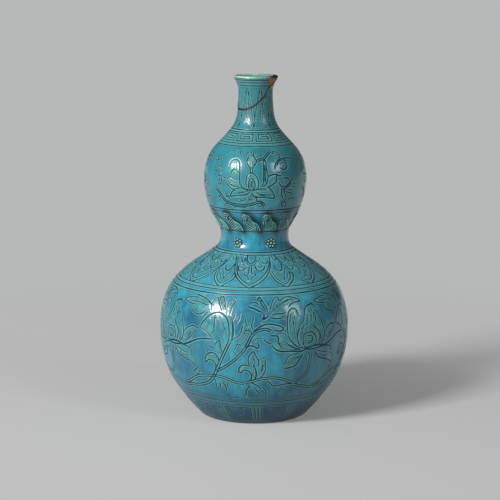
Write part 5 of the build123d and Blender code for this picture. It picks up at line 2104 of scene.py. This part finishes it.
@dataclass
class LeafSprigs(Appliques):
    """Moulded leaves at the top of the waist: hooded, leaning, with comb cuts.

    Args:
        count: number of leaves.
        first_turn: place of the first one in degrees.
        low: height of their feet.
        half_width: half the width that the outline is drawn against.
        height: height of a leaf.
        dome: how far a leaf swells off the wall.
        hood: how much more its top stands out.
        sunk: how deep it is pressed in.
        cut_depth: depth of the comb cuts.
        cut_spread: half the width of a cut.
        combs: number of slanting cuts.
        comb: start of the first cut across and up, its reach, and how each changes to the next.
        spacing: distance between a leaf's points.
        lee: how far the pooled glaze and painted shade reach beside a leaf.
        run_at: how far right of a leaf's middle its glaze has run down.
        run_width: half the width of a run.
    """

    count: int = 13
    first_turn: float = -12.2
    low: float = 168.237
    half_width: float = 6.0
    height: float = 16.4
    dome: float = 0.85
    hood: float = 0.25
    sunk: float = 0.5
    cut_depth: float = 0.5
    cut_spread: float = 0.36
    combs: int = 7
    comb: Path = ((0.9, -0.14), (0.4, 1.75), (5.8, -0.35))
    spacing: float = 0.27
    lee: float = 3.8
    run_at: float = 13.2
    run_width: float = 1.7

    def cuts(self) -> Array:
        """Follows the cuts of one leaf.

        Returns:
            Close points in millimetres across and up from its foot.
        """
        step, lines = 0.25, list(SPRIG_CUTS)
        for i in range(self.combs):
            side, low, reach = (start + change * i for start, change in self.comb)
            middle = (side + 0.5 * reach, low + 0.44 * reach)
            lines.append(((side, low), middle, (side + reach, low + 0.8 * reach)))
        samples = []
        for line in lines:
            points = np.array(line)
            reach = running_length(points)
            fine = np.arange(0.0, reach[-1], step)
            samples.append(np.stack([np.interp(fine, reach, column) for column in points.T], axis=1))
        return np.concatenate(samples)

    def rim(self) -> Array:
        """Follows the leaf's outline, up one side, over the top, down the other and along the foot.

        Returns:
            Points in millimetres across and up.
        """
        sides, foot = 90, 16
        stations = np.array(SPRIG_OUTLINE) * (self.half_width, self.height)
        knots = running_length(stations)
        dense = np.linspace(0.0, knots[-1], sides)
        side = np.stack([natural_spline(knots, column)(dense) for column in stations.T], axis=1)
        across = np.linspace(side[-1, 0], side[0, 0], foot + 2)[1:-1]
        return np.concatenate((side, np.stack((across, np.zeros(foot)), axis=1)))

    def leaf(self) -> Object:
        """Builds the first leaf on the wall.

        Returns:
            The leaf.
        """
        clear, nearest = 0.25, 1e-6
        rim, cuts = self.rim(), self.cuts()
        cuts = cuts[inside_polygon(cuts, rim)]
        axes = (np.arange(low, high, self.spacing) for low, high in zip(rim.min(axis=0), rim.max(axis=0)))
        grid = np.stack(np.meshgrid(*axes), axis=-1).reshape(-1, 2)
        grid = grid[inside_polygon(grid, rim)]
        points = np.concatenate((rim, grid[self.gap(grid, rim) > clear]))
        edges = [(i, (i + 1) % len(rim)) for i in range(len(rim))]
        found, _, faces, _, _, _ = delaunay_2d_cdt([Vector(point) for point in points], edges, [], 1, nearest)
        flat = np.array([(spot.x, spot.y) for spot in found])
        from_rim, from_cut = self.gap(flat, rim), self.gap(flat, cuts)
        # The leaf rounds off within 1.1 mm of its rim, and its hood leans out over the top 7 mm
        swell = self.dome * (1.0 - np.exp(-((from_rim / 1.1) ** 1.4)))
        hood = self.hood * np.clip((flat[:, 1] - 9.0) / 5.0, 0, 1) * np.clip(from_rim / 1.5, 0, 1)
        comb = self.cut_depth * np.exp(-((from_cut / self.cut_spread) ** 2)) * np.clip(from_rim / 0.5, 0, 1)
        shell = Shell()
        height = self.low + flat[:, 1]
        turn = math.radians(self.first_turn) + np.arcsin(flat[:, 0] / OUTLINE.radius(height))
        front = shell.add_points(OUTLINE.place(turn, height, GLAZE_LIFT + swell + hood - comb))
        back = shell.add_points(OUTLINE.place(turn, height, np.full(len(flat), -self.sunk)))
        shell.faces += [tuple(front[i] for i in face) for face in faces]
        shell.faces += [tuple(back[i] for i in reversed(face)) for face in faces]
        sides = {pair for face in faces for pair in zip(face, face[1:] + face[:1])}
        for first, second in sorted(sides):
            if (second, first) not in sides:
                shell.faces.append((front[second], front[first], back[first], back[second]))
        leaf = shell.build("leaf_sprig")
        # Glaze is thin on the ridges and the rim, and thick on the wing at the lower right
        line = np.minimum(from_cut / 0.8, 0.2 + from_rim / 0.9)
        wing = np.clip((flat[:, 0] - 6.4 + 0.5 * (flat[:, 1] - 4.0)) / 1.5, 0, 1)
        store(leaf, carved_line=np.concatenate((line, line)), carved_area=np.tile(1.0 - 0.8 * wing, 2))
        return leaf

    @staticmethod
    def gap(points: Array, others: Array) -> Array:
        """Returns each point's distance to the nearest of the others."""
        return np.linalg.norm(points[:, None, :] - others[None, :, :], axis=2).min(axis=1)

    def pooled(self, turn: Array, height: Array) -> Array:
        """Works out the pooled glaze, with painted shade, in the lee of the leaves, and in the runs that left
        it.

        Args:
            turn: angles in radians.
            height: heights in millimetres.

        Returns:
            Shares from 0 to 1.
        """
        lowest, highest, farthest, run_share = 150.0, 190.0, 20.0, 0.85
        right = np.array(SPRIG_OUTLINE[SPRIG_RIGHT:]) * (self.half_width, self.height)
        result = np.zeros(len(turn))
        near = np.nonzero((height > lowest) & (height < highest))[0]
        if not len(near):
            return result
        for index in range(self.count):
            away = turn[near] - math.radians(self.first_turn) - index * FULL_TURN / self.count
            away = (away + math.pi) % FULL_TURN - math.pi
            flat = np.stack((away * OUTLINE.radius(height[near]), height[near] - self.low), axis=1)
            close = np.nonzero(np.abs(flat[:, 0]) < farthest)[0]
            distance = np.full(len(close), np.inf)
            for first, second in zip(right, right[1:]):
                along = second - first
                share = np.clip(((flat[close] - first) @ along) / (along @ along), 0, 1)
                off = flat[close] - first - share[:, None] * along
                distance = np.minimum(distance, np.linalg.norm(off, axis=1))
            # The lee of each leaf is painted shade over its pooled glaze
            lee = np.exp(-((distance / self.lee) ** 2))
            # The runs are 6 to 15 mm long
            length = 6.0 + 9.0 * abs(math.sin(2.1 * index + 0.4))
            below = np.clip(-flat[close, 1], 0, None)
            beside = np.exp(-(((flat[close, 0] - self.run_at) / self.run_width) ** 2))
            run = beside * np.clip(1 - below / length, 0, 1) * (below > 0)
            result[near[close]] = np.maximum(result[near[close]], np.maximum(lee, run_share * run))
        return result

    def build(self) -> None:
        """Models one leaf and copies it round the waist."""
        self.copies(self.leaf(), "leaf_sprig", [index * 360 / self.count for index in range(self.count)])


@dataclass
class Studio:
    """The camera at the photograph's view, the paper, two lamps and the room.

    Args:
        place: the camera's place in metres.
        pitch: how far it looks down, in degrees.
        roll: its roll in degrees.
        lens: focal length on a 36 mm frame.
        shift: sideways shift of the frame.
        room: colour of the room's light.
        room_strength: its strength.
        aim: height in metres that the lamps look at.
        away: their distance from there.
    """

    place: tuple[float, float, float] = (0.0, -1.59025, 0.42169)
    pitch: float = 9.8154
    roll: float = 0.4298
    lens: float = 130.66
    shift: float = -0.00901
    room: str = "#e6e5e1"
    room_strength: float = 0.17
    aim: float = 0.16
    away: float = 4.0

    def camera(self) -> None:
        """Sets the camera."""
        data = bpy.data.cameras.new("camera")
        data.lens, data.sensor_width, data.shift_x, data.clip_end = self.lens, 36.0, self.shift, 200.0
        camera = linked("camera", data)
        facing = Matrix.Rotation(math.radians(90.0 - self.pitch), 4, "X")
        turned = facing @ Matrix.Rotation(math.radians(self.roll), 4, "Z")
        camera.matrix_world = Matrix.Translation(self.place) @ turned
        bpy.context.scene.camera = camera

    def lamp(self, name: str, turn: float, rise: float, size: Pair, power: float, tint: tuple) -> Object:
        """Adds a softbox that looks at the middle of the vase.

        Args:
            name: the lamp's name.
            turn: direction in degrees from the front, positive to +X.
            rise: degrees above the vase.
            size: width and height in metres.
            power: watts.
            tint: its colour.

        Returns:
            The lamp.
        """
        data = bpy.data.lights.new(name, "AREA")
        data.shape = "RECTANGLE"
        data.size, data.size_y = size
        data.energy, data.color = power, tint
        lamp = linked(name, data)
        around, up = math.radians(turn), math.radians(rise)
        facing = Vector((math.sin(around) * math.cos(up), -math.cos(around) * math.cos(up), math.sin(up)))
        lamp.location = Vector((0.0, 0.0, self.aim)) + self.away * facing
        lamp.rotation_euler = facing.to_track_quat("Z", "Y").to_euler()
        return lamp

    def build(self) -> None:
        """Sets up the whole studio."""
        self.camera()
        bpy.ops.mesh.primitive_plane_add(size=80.0)
        floor = bpy.context.active_object
        floor.name = "seamless_paper"
        floor.data.materials.append(Paper().material())
        left = self.lamp("left_softbox", -47.5, 27.5, (0.98, 0.74), 240.0, (1.0, 0.99, 0.97))
        right = self.lamp("right_softbox", 52.0, 25.5, (1.2, 1.2), 31.0, (1.0, 0.97, 0.93))
        world = bpy.data.worlds.new("room")
        world.use_nodes = True
        background = world.node_tree.nodes["Background"]
        background.inputs["Color"].default_value = linear(self.room)
        background.inputs["Strength"].default_value = self.room_strength
        bpy.context.scene.world = world
        bpy.context.scene.view_settings.view_transform = "Standard"


# Dipped and fired over the carving: a deep glassy skin, dark in the cuts and pale off their edges
GLAZE = Glaze("carved turquoise glaze", "#061c25", "#2e92a8", "#519f8f", "#96ccba", "#185b7a", 0.34)
# The same glaze, thinner over moulded relief: greener, with paler ridges
RELIEF_GLAZE = Glaze(
    "thin turquoise glaze over relief", "#05181e", "#317f88", "#62a795", "#9dd2bf", "#235f6b", 0.6
)
# Clay slip that was laid on wet and fired: matt, earthy and grainy
SLIP = Blotched("luting slip", "#7d6a55", "#94806a", 0.75)
# Lacquer filled in and rubbed down: satin, with soft brown blotches, darker towards the top right
LACQUER = Blotched("brown lacquer fill", "#7a4321", "#a0673a", 0.45, (305.9, 308.3))
# Lacquer wiped into the break: a dark line with a dull gloss
SEAM = Blotched("dark red-brown lacquer seam", "#0c0504", "#2c0f08", 0.5)


def main() -> None:
    """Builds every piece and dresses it."""
    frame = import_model()
    glaze, relief_glaze = GLAZE.material(), RELIEF_GLAZE.material()
    leaves = LeafSprigs(relief_glaze)
    body = Body(Carving(), glaze)
    body.build(leaves.pooled)
    MendedNeck(body, SEAM.material(), LACQUER.material()).build(leaves.pooled)
    SlipRings(SLIP.material()).build()
    Rosettes(relief_glaze).build()
    leaves.build()
    Studio().build()
    LOG.info("%d solid-model nodes", len(frame["nodes"]))


if __name__ == "__main__":
    logging.basicConfig(level=logging.INFO, format="%(name)s: %(message)s")
    main()
